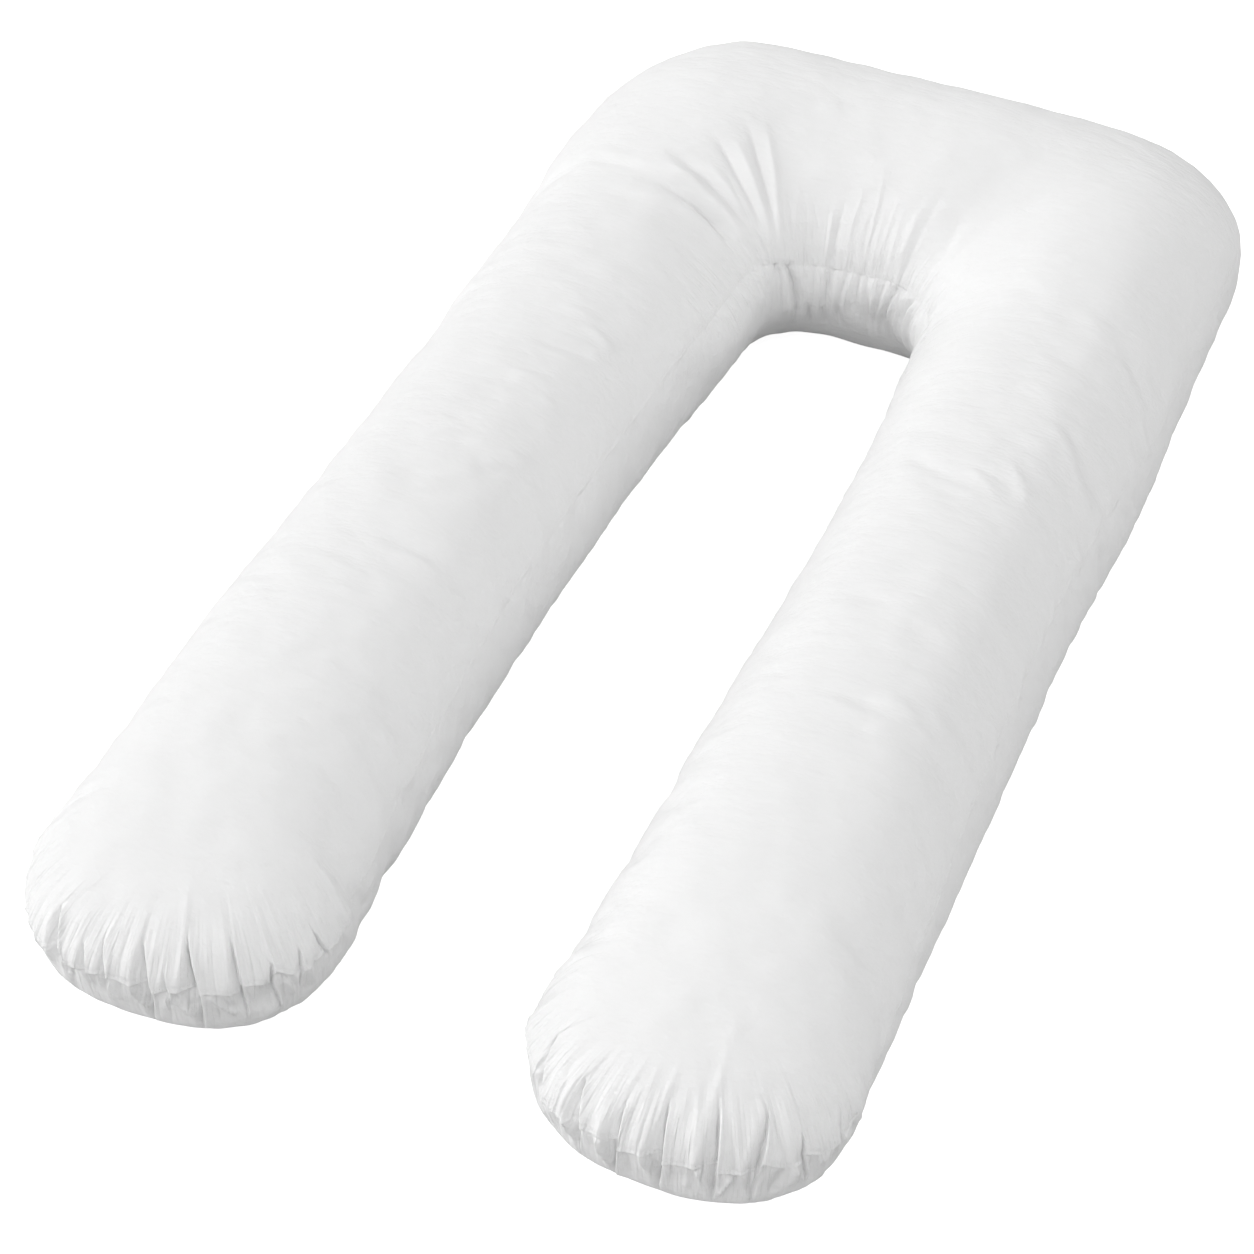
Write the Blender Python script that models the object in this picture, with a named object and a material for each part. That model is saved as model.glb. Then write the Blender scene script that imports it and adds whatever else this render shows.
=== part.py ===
"""U-shaped pregnancy pillow: one filled solid whose top and bottom panels meet in a seam all round.

Metres, +Z up. The pillow lies on the plane Z = 0 with its head bar towards +Y and the open ends of its two
legs towards -Y. The origin is on the floor, under the middle of the pillow's box.
"""

import bisect
import math

import bmesh
import bpy
import numpy as np

# Driving dimensions
LENGTH = 1.400  # leg tips to the outer edge of the head bar
BAR_DEPTH = 0.312  # head bar, front to back
GAP_AT_HEAD = 0.179  # between the legs at the head bar
GAP_OFFSET = 0.009  # the gap lies this far right of the middle
INNER_RADIUS = 0.066  # plan radius of the two inner corners
LEG_HEIGHT = 0.200
BAR_HEIGHT = 0.223
FOOT_HEIGHT = 0.160  # where the legs thin out towards their tips
FOOT_TAPER = 0.40  # share of a leg over which it thins out
WIDEST_SHARE = 0.52  # height of the widest line, as a share of the thickness

# One row for each leg. Bows are how far an edge stands out, halfway along the leg.
LEG_COLUMNS = "side", "foot_width", "foot_spread", "inner_bow", "outer_bow", "cap", "tip_gap"
LEG_ROWS = (
    (-1, 0.293, 0.020, -0.014, -0.006, 0.162, 0.000),
    (1, 0.290, 0.022, -0.012, 0.003, 0.155, 0.002),
)
LEGS = {row[0]: dict(zip(LEG_COLUMNS, row)) for row in LEG_ROWS}

# Head corners: X of the outer edge, the quarter ellipse that it turns in along the bar and along the leg,
# and the thickness over the corner
CORNER_COLUMNS = "side", "outer_x", "turn_x", "turn_y", "height"
CORNER_ROWS = (
    (-1, 0.358, 0.155, 0.270, 0.228),
    (1, 0.353, 0.150, 0.150, 0.213),
)
CORNERS = {row[0]: dict(zip(CORNER_COLUMNS, row)) for row in CORNER_ROWS}

# The right leg's outer edge swells below the corner: the place along the leg, the reach each way and the amount
SWELL = {"y": 0.930, "reach": 0.250, "amount": 0.009}

# Section: superellipse powers, and the flat underside where the filling settles
TOP_POWER = 2.16
BOTTOM_POWER = 2.30
CAP_POWER = 2.58  # plan of a leg's tip
SETTLING = 1.12  # depth of the underside before the floor flattens it
FLOOR_BLEND = 0.004  # height over which the underside rounds into its flat

# Angle of the seam above the widest line, in degrees
SEAM_AT_TIP = 7.0
SEAM_AT_BAR = {"inner": 8.0, "outer": 11.0}
SEAM_AT_LEGS = {-1: {"inner": 21.0, "outer": 11.0}, 1: {"inner": 12.0, "outer": 21.0}}
SEAM_RISE = 0.40  # length over which the seam climbs from the tip to its height along the leg
SEAM_TURN = 0.60  # share of an inner corner's turn over which it comes down to the bar
SEAM_FALL = 0.24  # length over which it comes down to the corner on the outer side
SEAM_DRAW = 0.002  # how far the stitching draws the seam in
SEAM_VALLEY = 0.009  # how far that valley reaches above and below the seam

# Mesh: stations along the pillow, columns round a leg's tip, and arc shares from the seam to the crown
LEG_STATIONS = 26
CORNER_STATIONS = {-1: 26, 1: 16}
BAR_STATIONS = 14
CAP_COLUMNS = 60
TOP_SHARES = (0.0, 0.05, 0.12, 0.22, 0.36, 0.55, 0.78, 1.0)
BOTTOM_SHARES = (0.0, 0.06, 0.15, 0.26, 0.37, 0.48, 0.61, 0.79, 1.0)
ARC_SAMPLES = 32

# Gathers across the seam round each tip. The place and the width are in degrees from the tip, positive towards
# the gap, and up and down are how far a gather runs into the top and the bottom panel.
TIP_GATHER_COLUMNS = "place", "depth", "width", "up", "down"
TIP_GATHERS = {
    -1: (
        (-57, 0.004, 14, 0.05, 0.04),
        (-36, 0.005, 12, 0.06, 0.05),
        (-18, 0.006, 10, 0.07, 0.05),
        (-6, 0.006, 9, 0.06, 0.05),
        (6, 0.009, 9, 0.08, 0.06),
        (21, 0.009, 10, 0.08, 0.06),
        (36, 0.006, 12, 0.11, 0.05),
        (51, 0.005, 12, 0.06, 0.05),
        (66, 0.003, 12, 0.06, 0.04),
    ),
    1: (
        (-69, 0.003, 14, 0.05, 0.04),
        (-51, 0.005, 12, 0.06, 0.05),
        (-36, 0.006, 11, 0.08, 0.05),
        (-18, 0.009, 10, 0.09, 0.06),
        (-3, 0.008, 9, 0.09, 0.06),
        (6, 0.006, 8, 0.06, 0.05),
        (18, 0.009, 10, 0.09, 0.06),
        (36, 0.006, 12, 0.07, 0.05),
        (57, 0.004, 14, 0.05, 0.04),
    ),
}

# Folds that fan out over the top from the seam at the two inner corners. The turn is 0 at the leg and 1 at the
# bar, and the reach is 1 at the crown and 2 at the outer seam.
FOLD_START = 0.15  # share of the way to the crown over which a fold deepens
CORNER_FOLD_COLUMNS = "turn", "depth", "width", "reach"
CORNER_FOLDS = {
    -1: (
        (0.154, 0.008, 0.11, 1.45),
        (0.269, 0.006, 0.10, 1.05),
        (0.385, 0.006, 0.09, 0.95),
        (0.462, 0.005, 0.08, 0.90),
        (0.654, 0.004, 0.09, 0.60),
        (0.808, 0.003, 0.09, 0.55),
    ),
    1: (
        (0.375, 0.003, 0.13, 0.55),
        (0.688, 0.004, 0.13, 0.80),
        (0.875, 0.003, 0.13, 0.55),
    ),
}


def ease(share):
    """0 to 1 with a level start and end."""
    share = min(max(share, 0.0), 1.0)
    return share * share * (3.0 - 2.0 * share)


def mix(start, end, share):
    return start + (end - start) * share


def swell(side, y):
    """How far right the right leg's outer edge stands out at a given Y."""
    if side < 0:
        return 0.0
    return SWELL["amount"] * (1.0 - ease(abs(y - SWELL["y"]) / SWELL["reach"]))


class Leg:
    """One leg in plan: its edges at a given Y, and the thickness there."""

    def __init__(self, side):
        self.row = LEGS[side]
        self.side = side
        self.head_inner = GAP_OFFSET + side * GAP_AT_HEAD / 2
        self.head_outer = side * CORNERS[side]["outer_x"]
        self.tip_y = self.row["tip_gap"]
        self.cap_y = self.tip_y + self.row["cap"]
        self.top_y = LENGTH - BAR_DEPTH - INNER_RADIUS

    def share(self, y):
        return min(max((y - self.tip_y) / (self.top_y - self.tip_y), 0.0), 1.0)

    def edges(self, y):
        """X of the outer and of the inner edge."""
        t = self.share(y)
        bow = 4.0 * t * (1.0 - t)
        row = self.row
        outer = self.head_outer + self.side * (row["foot_spread"] * (1.0 - t) + row["outer_bow"] * bow)
        outer += swell(self.side, y)
        foot_inner = self.head_outer + self.side * (row["foot_spread"] - row["foot_width"])
        inner = foot_inner + (self.head_inner - foot_inner) * t - self.side * row["inner_bow"] * bow
        return outer, inner

    def thickness(self, y):
        return FOOT_HEIGHT + (LEG_HEIGHT - FOOT_HEIGHT) * ease(self.share(y) / FOOT_TAPER)

    def middle(self, y):
        return sum(self.edges(y)) / 2

    def cap_point(self, degrees):
        """The cap's edge at an angle from the tip, -90 at the outer edge and 90 at the inner edge."""
        angle = math.radians(degrees)
        y = self.cap_y - self.row["cap"] * abs(math.cos(angle)) ** (2 / CAP_POWER)
        outer, inner = self.edges(y)
        reach = math.copysign(abs(math.sin(angle)) ** (2 / CAP_POWER), angle)
        return (outer + inner) / 2 + (inner - outer) / 2 * reach, y


def column(edge, middle, thickness, seam, fold):
    """A half section from the crown to the edge. fold(share, arc) is the depth pressed in there."""
    return {"edge": edge, "middle": middle, "thickness": thickness, "seam": seam, "fold": fold}


def gather_depth(rows, place):
    """Depth of the tip gathers at an angle, by the arc from the seam."""

    def depth(share, arc):
        total = 0.0
        for row in rows:
            gather = dict(zip(TIP_GATHER_COLUMNS, row))
            offset = (place - gather["place"]) / (gather["width"] / 2)
            fade = arc / gather["up"] if arc >= 0 else -arc / gather["down"]
            total += gather["depth"] * max(0.0, 1.0 - abs(offset)) * (1.0 - ease(fade))
        return total

    return depth


def corner_depth(rows, turn, outer):
    """Depth of the inner corner's folds at a share of the turn, by the share of the way up to the crown."""

    def depth(share, arc):
        total = 0.0
        across = 2.0 - share if outer else share
        for row in rows:
            fold = dict(zip(CORNER_FOLD_COLUMNS, row))
            offset = (turn - fold["turn"]) / (fold["width"] / 2)
            along = ease(across / FOLD_START) * (1.0 - ease(across / fold["reach"]))
            total += fold["depth"] * max(0.0, 1.0 - abs(offset)) * along
        return total

    return depth


def no_fold(share, arc):
    return 0.0


def corner_stations(side):
    """Inner point, outer point and share of the turn, from the leg to the bar."""
    leg = Leg(side)
    turn_x, turn_y = CORNERS[side]["turn_x"], CORNERS[side]["turn_y"]
    inner_centre = (leg.head_inner - side * INNER_RADIUS, leg.top_y)
    outer_centre = (leg.head_outer - side * turn_x, LENGTH - turn_y)
    rise = outer_centre[1] - leg.top_y
    arc = (turn_x + turn_y) / 2 * math.pi / 2
    run = abs(inner_centre[0] - outer_centre[0])
    stations = []
    for k in range(1, CORNER_STATIONS[side] + 1):
        turn = k / CORNER_STATIONS[side]
        angle = turn * math.pi / 2
        inner = (
            inner_centre[0] + side * INNER_RADIUS * math.cos(angle),
            inner_centre[1] + INNER_RADIUS * math.sin(angle),
        )
        travel = turn * (rise + arc + run)
        if travel < rise:
            outer = (leg.head_outer + swell(side, leg.top_y + travel), leg.top_y + travel)
        elif travel < rise + arc:
            bend = (travel - rise) / arc * math.pi / 2
            outer = (
                outer_centre[0] + side * turn_x * math.cos(bend),
                outer_centre[1] + turn_y * math.sin(bend),
            )
        else:
            outer = (outer_centre[0] - side * (travel - rise - arc), LENGTH)
        stations.append((inner, outer, turn))
    return stations


def corner_height(side, turn):
    """Thickness over a corner's turn: from the leg up to the corner's fullest place, then to the bar."""
    if turn < 0.5:
        return mix(LEG_HEIGHT, CORNERS[side]["height"], ease(turn / 0.5))
    return mix(CORNERS[side]["height"], BAR_HEIGHT, ease((turn - 0.5) / 0.5))


def inner_corner_seam(side, turn):
    return mix(SEAM_AT_LEGS[side]["inner"], SEAM_AT_BAR["inner"], ease(turn / SEAM_TURN))


def side_columns(side):
    """Columns of a leg and its corner: those of the outer side, the cap and the inner side, head to head."""
    leg = Leg(side)
    outer_side, inner_side = [], []
    for inner, outer, turn in reversed(corner_stations(side)):
        middle = ((inner[0] + outer[0]) / 2, (inner[1] + outer[1]) / 2)
        thickness = corner_height(side, turn)
        outer_folds = corner_depth(CORNER_FOLDS[side], turn, True)
        inner_folds = corner_depth(CORNER_FOLDS[side], turn, False)
        outer_side.append(column(outer, middle, thickness, SEAM_AT_BAR["outer"], outer_folds))
        inner_side.append(column(inner, middle, thickness, inner_corner_seam(side, turn), inner_folds))
    for k in range(LEG_STATIONS):
        y = leg.top_y + (leg.cap_y - leg.top_y) * k / LEG_STATIONS
        outer, inner = leg.edges(y)
        middle = ((outer + inner) / 2, y)
        climb = ease((y - leg.cap_y) / SEAM_RISE)
        fall = 1.0 - ease((leg.top_y - y) / SEAM_FALL)
        outer_seam = mix(mix(SEAM_AT_TIP, SEAM_AT_LEGS[side]["outer"], climb), SEAM_AT_BAR["outer"], fall)
        inner_seam = mix(SEAM_AT_TIP, SEAM_AT_LEGS[side]["inner"], climb)
        outer_side.append(column((outer, y), middle, leg.thickness, outer_seam, no_fold))
        inner_side.append(column((inner, y), middle, leg.thickness, inner_seam, no_fold))
    pole = (leg.middle(leg.cap_y), leg.cap_y)
    cap = []
    for k in range(CAP_COLUMNS + 1):
        place = -90.0 + 180.0 * k / CAP_COLUMNS
        depth = gather_depth(TIP_GATHERS[side], place)
        cap.append(column(leg.cap_point(place), pole, leg.thickness, SEAM_AT_TIP, depth))
    return outer_side + cap + inner_side[::-1]


def bar_columns(left, right):
    """Columns between two columns of the head bar, left and right of it."""
    made = []
    for k in range(1, BAR_STATIONS):
        share = k / BAR_STATIONS
        edge = tuple(a + (b - a) * share for a, b in zip(left["edge"], right["edge"]))
        middle = tuple(a + (b - a) * share for a, b in zip(left["middle"], right["middle"]))
        made.append(column(edge, middle, BAR_HEIGHT, left["seam"], no_fold))
    return made


def section_point(col, degrees):
    """A point of the half section, at an angle from the widest line."""
    angle = math.radians(degrees)
    power = TOP_POWER if degrees >= 0 else BOTTOM_POWER
    reach = max(0.0, math.cos(angle)) ** (2 / power)
    rise = math.copysign(abs(math.sin(angle)) ** (2 / power), angle)
    x = col["middle"][0] + (col["edge"][0] - col["middle"][0]) * reach
    y = col["middle"][1] + (col["edge"][1] - col["middle"][1]) * reach
    thickness = col["thickness"](y) if callable(col["thickness"]) else col["thickness"]
    widest = WIDEST_SHARE * thickness
    if rise >= 0:
        return x, y, widest + (thickness - widest) * rise
    return x, y, rest_on_floor(widest + SETTLING * widest * rise)


def outward(col, degrees):
    """Unit direction out of the cushion at an angle of the half section."""
    angle = math.radians(degrees)
    out_x = col["edge"][0] - col["middle"][0]
    out_y = col["edge"][1] - col["middle"][1]
    width = math.hypot(out_x, out_y)
    level = math.cos(angle) / width
    upward = math.sin(angle) / (LEG_HEIGHT / 2)
    length = math.hypot(level, upward)
    return out_x / width * level / length, out_y / width * level / length, upward / length


def rest_on_floor(z):
    """Flat at 0 below the floor, with a rounded start."""
    if z >= FLOOR_BLEND:
        return z
    if z <= -FLOOR_BLEND:
        return 0.0
    return (z + FLOOR_BLEND) ** 2 / (4 * FLOOR_BLEND)


def half_section(col, end, shares):
    """Angle, arc from the seam and point at given arc shares from the seam to the crown or the underside."""
    angles = [col["seam"] + (end - col["seam"]) * k / ARC_SAMPLES for k in range(ARC_SAMPLES + 1)]
    samples = [section_point(col, angle) for angle in angles]
    arcs = [0.0]
    for a, b in zip(samples, samples[1:]):
        arcs.append(arcs[-1] + math.dist(a, b))
    found = []
    for share in shares:
        goal = share * arcs[-1]
        k = min(max(bisect.bisect_right(arcs, goal) - 1, 0), ARC_SAMPLES - 1)
        angle = angles[k] + (angles[k + 1] - angles[k]) * (goal - arcs[k]) / (arcs[k + 1] - arcs[k])
        found.append((angle, goal, section_point(col, angle)))
    return found


def pressed_in(col, point, angle, share, arc):
    """The point moved inward by the seam and the column's folds, but never below the floor."""
    depth = col["fold"](share, arc) + SEAM_DRAW * (1.0 - ease(abs(arc) / SEAM_VALLEY))
    moved = [a - b * depth for a, b in zip(point, outward(col, angle))]
    return moved[0], moved[1], max(moved[2], 0.0)


def column_points(col):
    """Points of a column, from the crown over the seam to the middle of the underside."""
    top = zip(TOP_SHARES, half_section(col, 90.0, TOP_SHARES))
    points = [pressed_in(col, point, angle, share, arc) for share, (angle, arc, point) in top][::-1]
    for angle, arc, point in half_section(col, -90.0, BOTTOM_SHARES)[1:]:
        points.append(pressed_in(col, point, angle, 0.0, -arc))
    return points


def pillow_columns():
    """All columns in order round the seam."""
    left, right = side_columns(-1), side_columns(1)[::-1]
    return left + bar_columns(left[-1], right[0]) + right + bar_columns(right[-1], left[0])


def pillow_mesh(name):
    """The closed skin of the filled pillow."""
    points = np.array([column_points(col) for col in pillow_columns()])
    low, high = points.min(axis=(0, 1)), points.max(axis=(0, 1))
    points -= np.array([(low[0] + high[0]) / 2, (low[1] + high[1]) / 2, 0.0])
    shell = bmesh.new()
    grid = [[shell.verts.new(point) for point in rows] for rows in points]
    for k, rows in enumerate(grid):
        following = grid[(k + 1) % len(grid)]
        for j in range(len(rows) - 1):
            shell.faces.new((rows[j], following[j], following[j + 1], rows[j + 1]))
    bmesh.ops.remove_doubles(shell, verts=shell.verts, dist=1e-5)
    bmesh.ops.recalc_face_normals(shell, faces=shell.faces)
    mesh = bpy.data.meshes.new(name)
    shell.to_mesh(mesh)
    shell.free()
    mesh.shade_smooth()
    return mesh


def cotton_material():
    """White plain-woven cotton."""
    material = bpy.data.materials.new("white_cotton")
    material.use_nodes = True
    shader = material.node_tree.nodes["Principled BSDF"]
    shader.inputs["Base Color"].default_value = (0.86, 0.86, 0.86, 1.0)
    shader.inputs["Roughness"].default_value = 0.85
    shader.inputs["Metallic"].default_value = 0.0
    return material


def main():
    for old in list(bpy.data.objects):
        bpy.data.objects.remove(old)
    pillow = bpy.data.objects.new("pillow", pillow_mesh("pillow"))
    pillow.data.materials.append(cotton_material())
    bpy.context.scene.collection.objects.link(pillow)


main()
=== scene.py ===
import math
import random

import bpy
import numpy as np
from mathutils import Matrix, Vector, kdtree, noise


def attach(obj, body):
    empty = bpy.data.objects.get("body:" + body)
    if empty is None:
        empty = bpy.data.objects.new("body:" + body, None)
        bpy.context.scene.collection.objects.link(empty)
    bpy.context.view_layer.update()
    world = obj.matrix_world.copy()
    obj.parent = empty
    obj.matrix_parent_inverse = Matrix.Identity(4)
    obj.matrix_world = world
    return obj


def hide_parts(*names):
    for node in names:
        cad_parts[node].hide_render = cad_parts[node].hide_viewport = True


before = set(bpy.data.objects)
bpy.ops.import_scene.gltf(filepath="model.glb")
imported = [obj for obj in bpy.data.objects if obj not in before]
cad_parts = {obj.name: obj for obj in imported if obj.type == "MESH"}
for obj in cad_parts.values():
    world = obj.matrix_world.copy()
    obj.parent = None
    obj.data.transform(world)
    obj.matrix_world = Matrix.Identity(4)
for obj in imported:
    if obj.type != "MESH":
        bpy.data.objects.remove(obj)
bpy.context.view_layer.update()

# The camera, where the photograph was taken from

viewPoint = {
    "eye": (0.86014, -2.21706, 2.14786),
    "lookAt": (-0.05938, -0.04809, 0.0),
    "lens": 95.987,
    "sensor": 36.0,
    "clipStart": 0.05,
}


def addCamera():
    eye = Vector(viewPoint["eye"])
    bpy.ops.object.camera_add(location=eye)
    camera = bpy.context.object
    camera.name = "camera"
    camera.rotation_mode = "QUATERNION"
    camera.rotation_quaternion = (Vector(viewPoint["lookAt"]) - eye).to_track_quat("-Z", "Y")
    camera.data.lens = viewPoint["lens"]
    camera.data.sensor_width = viewPoint["sensor"]
    camera.data.clip_start = viewPoint["clipStart"]
    camera.data.dof.use_dof = False
    bpy.context.scene.camera = camera


addCamera()
print("camera set")

# The pillow: its plan, its section and its seam, all in metres and degrees

pillow = {
    "length": 1.400,
    "barDepth": 0.312,
    "gapAtHead": 0.179,
    "gapOffset": 0.009,  # the gap lies this far right of the middle
    "innerRadius": 0.066,
    "legHeight": 0.200,
    "barHeight": 0.223,
    "footHeight": 0.160,
    "footTaper": 0.40,  # share of a leg over which it thins out
    "widestShare": 0.52,
    "topPower": 2.16,
    "bottomPower": 2.30,
    "capPower": 2.58,
    "settling": 1.12,
    "floorBlend": 0.004,
    "floorEase": 0.020,  # what lies lower than this stays ever flatter, as it rests on the floor
    "planMiddle": (0.000595, 0.699896),  # goes to the origin, as in the frame
}

legRows = {
    -1: {
        "footWidth": 0.293,
        "footSpread": 0.020,
        "innerBow": -0.014,
        "outerBow": -0.006,
        "cap": 0.162,
        "tipGap": 0.0,
    },
    1: {
        "footWidth": 0.290,
        "footSpread": 0.022,
        "innerBow": -0.012,
        "outerBow": 0.003,
        "cap": 0.155,
        "tipGap": 0.002,
    },
}

cornerRows = {
    -1: {"outerX": 0.358, "turnX": 0.155, "turnY": 0.270, "height": 0.228},
    1: {"outerX": 0.353, "turnX": 0.150, "turnY": 0.150, "height": 0.213},
}

swellRow = {"y": 0.930, "reach": 0.250, "amount": 0.009}  # on the right leg's outer edge

seamLine = {
    "atTip": 7.0,
    "atBar": {"inner": 8.0, "outer": 11.0},
    "atLegs": {-1: {"inner": 21.0, "outer": 11.0}, 1: {"inner": 12.0, "outer": 21.0}},
    "rise": 0.40,
    "turn": 0.60,
    "fall": 0.24,
}

stitchArc = 0.0034  # how far above the seam its stitches run

netting = {
    "legStations": 200,
    "cornerStations": {-1: 140, 1: 76},
    "barStations": 30,
    "capColumns": 345,
    "topOffsets": (0.0, 0.0009, 0.0020, stitchArc, 0.0050, 0.0072, 0.0100, 0.0135, 0.0180, 0.0235, 0.030),
    "bottomOffsets": (0.0, 0.0009, 0.0020, 0.0038, 0.0060, 0.0085, 0.0111, 0.0138, 0.0166, 0.0196, 0.0228,
                      0.0264, 0.0305, 0.0352, 0.0405, 0.048, 0.058, 0.071, 0.087, 0.106, 0.130, 0.158),
    "topRows": 30,
    "bottomRows": 23,
    "creaseWidth": 0.0035,  # how near a pleat the columns stand closer together
    "creaseShare": 4.5,
    "arcSamples": 181,
    "capSamples": 1441,
    "panelShift": 2.0,  # the flat bottom panel lies this far beside the top one
    "mergeScale": 1e6,  # points whose places in metres times this round to the same are one point
}


tiny = 1e-12  # keeps a length of nothing from being divided by


def ease(share):
    share = np.clip(share, 0.0, 1.0)
    return share * share * (3.0 - 2.0 * share)


def blend(start, end, share):
    return start + (end - start) * share


def hump(offset, width, power=2):
    return np.exp(-(np.abs(offset / width) ** power))


def runLength(points):
    # the length along a line of points up to each of them
    return np.concatenate([[0.0], np.cumsum(np.linalg.norm(np.diff(points, axis=0), axis=1))])


def legPlan(side):
    row = legRows[side]
    return {
        "side": side,
        "row": row,
        "headInner": pillow["gapOffset"] + side * pillow["gapAtHead"] / 2,
        "headOuter": side * cornerRows[side]["outerX"],
        "tipY": row["tipGap"],
        "capY": row["tipGap"] + row["cap"],
        "topY": pillow["length"] - pillow["barDepth"] - pillow["innerRadius"],
    }


def legShare(leg, y):
    return np.clip((y - leg["tipY"]) / (leg["topY"] - leg["tipY"]), 0.0, 1.0)


def swellAt(side, y):
    if side < 0:
        return 0.0 * y
    return swellRow["amount"] * (1.0 - ease(np.abs(y - swellRow["y"]) / swellRow["reach"]))


def legEdges(leg, y):
    share = legShare(leg, y)
    bow = 4.0 * share * (1.0 - share)
    row, side = leg["row"], leg["side"]
    outer = leg["headOuter"] + side * (row["footSpread"] * (1.0 - share) + row["outerBow"] * bow)
    outer = outer + swellAt(side, y)
    footInner = leg["headOuter"] + side * (row["footSpread"] - row["footWidth"])
    inner = footInner + (leg["headInner"] - footInner) * share - side * row["innerBow"] * bow
    return outer, inner


def legThickness(leg, y):
    taper = ease(legShare(leg, y) / pillow["footTaper"])
    return blend(pillow["footHeight"], pillow["legHeight"], taper)


def capPoint(leg, degrees):
    angle = np.radians(degrees)
    y = leg["capY"] - leg["row"]["cap"] * np.abs(np.cos(angle)) ** (2 / pillow["capPower"])
    outer, inner = legEdges(leg, y)
    reach = np.sign(angle) * np.abs(np.sin(angle)) ** (2 / pillow["capPower"])
    return np.stack([(outer + inner) / 2 + (inner - outer) / 2 * reach, y], axis=-1)


def makeColumn(edge, middle, height, seam):
    return {"edge": np.array(edge), "middle": np.array(middle), "height": height, "seam": seam, "mark": ""}


def cornerStations(side):
    leg = legPlan(side)
    turnX, turnY = cornerRows[side]["turnX"], cornerRows[side]["turnY"]
    radius = pillow["innerRadius"]
    innerCentre = (leg["headInner"] - side * radius, leg["topY"])
    outerCentre = (leg["headOuter"] - side * turnX, pillow["length"] - turnY)
    rise = outerCentre[1] - leg["topY"]
    arc = (turnX + turnY) / 2 * math.pi / 2
    run = abs(innerCentre[0] - outerCentre[0])
    stations = []
    for k in range(1, netting["cornerStations"][side] + 1):
        turn = k / netting["cornerStations"][side]
        angle = turn * math.pi / 2
        inner = (innerCentre[0] + side * radius * math.cos(angle), innerCentre[1] + radius * math.sin(angle))
        travel = turn * (rise + arc + run)
        if travel < rise:
            y = leg["topY"] + travel
            outer = (leg["headOuter"] + float(swellAt(side, y)), y)
        elif travel < rise + arc:
            bend = (travel - rise) / arc * math.pi / 2
            outer = (outerCentre[0] + side * turnX * math.cos(bend), outerCentre[1] + turnY * math.sin(bend))
        else:
            outer = (outerCentre[0] - side * (travel - rise - arc), pillow["length"])
        stations.append((inner, outer, turn))
    return stations


def cornerHeight(side, turn):
    full = cornerRows[side]["height"]
    if turn < 0.5:
        return float(blend(pillow["legHeight"], full, ease(turn / 0.5)))
    return float(blend(full, pillow["barHeight"], ease((turn - 0.5) / 0.5)))


def level(height):
    return lambda y: np.full(np.shape(y), height)


def sideColumns(side, darts):
    leg = legPlan(side)
    thickness = lambda y: legThickness(leg, y)
    outerSide, innerSide = [], []
    legInner, legOuter = seamLine["atLegs"][side]["inner"], seamLine["atLegs"][side]["outer"]
    for k, (inner, outer, turn) in enumerate(reversed(cornerStations(side))):
        middle = ((inner[0] + outer[0]) / 2, (inner[1] + outer[1]) / 2)
        height = level(cornerHeight(side, turn))
        innerSeam = blend(legInner, seamLine["atBar"]["inner"], ease(turn / seamLine["turn"]))
        innerSide.append(makeColumn(inner, middle, height, innerSeam))
        if k % 2 == 0:  # the plain outer side needs half as many
            outerSide.append(makeColumn(outer, middle, height, seamLine["atBar"]["outer"]))
    for k in range(netting["legStations"]):
        y = leg["topY"] + (leg["capY"] - leg["topY"]) * k / netting["legStations"]
        outer, inner = legEdges(leg, y)
        climb = ease((y - leg["capY"]) / seamLine["rise"])
        fall = 1.0 - ease((leg["topY"] - y) / seamLine["fall"])
        outerSeam = blend(blend(seamLine["atTip"], legOuter, climb), seamLine["atBar"]["outer"], fall)
        middle = ((outer + inner) / 2, y)
        outerSide.append(makeColumn((outer, y), middle, thickness, outerSeam))
        innerSide.append(makeColumn((inner, y), middle, thickness, blend(seamLine["atTip"], legInner, climb)))
    pole = (sum(legEdges(leg, leg["capY"])) / 2, leg["capY"])
    cap = []
    for place in capPlaces(leg, darts):
        cap.append(makeColumn(capPoint(leg, place), pole, thickness, seamLine["atTip"]))
    nearest = min(range(len(cap)), key=lambda k: abs(cap[k]["edge"][0] - float(capPoint(leg, 0.0)[0])))
    cap[nearest]["mark"] = "leftTip" if side < 0 else "rightTip"
    return outerSide + cap + innerSide[::-1]


def capPlaces(leg, darts):
    # angles of the cap's columns, closer together at each pleat
    places = np.linspace(-90.0, 90.0, netting["capSamples"])
    along = runLength(capPoint(leg, places))
    along = (along - along[len(places) // 2]) * -leg["side"]
    density = np.ones(len(places))
    for dart in darts:
        density += netting["creaseShare"] * hump(along - dart["at"], netting["creaseWidth"])
    steps = (density[1:] + density[:-1]) / 2 * np.abs(np.diff(along))
    total = np.concatenate([[0.0], np.cumsum(steps)])
    return np.interp(np.linspace(0.0, total[-1], netting["capColumns"] + 1), total, places)


def barColumns(left, right):
    made = []
    for k in range(1, netting["barStations"]):
        share = k / netting["barStations"]
        edge = blend(left["edge"], right["edge"], share)
        middle = blend(left["middle"], right["middle"], share)
        made.append(makeColumn(edge, middle, level(pillow["barHeight"]), left["seam"]))
    made[len(made) // 2]["mark"] = "barMiddle"
    return made


def restOnFloor(z):
    soft = pillow["floorBlend"]
    rounded = (np.clip(z, -soft, soft) + soft) ** 2 / (4 * soft)
    return np.where(z >= soft, z, rounded)


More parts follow.
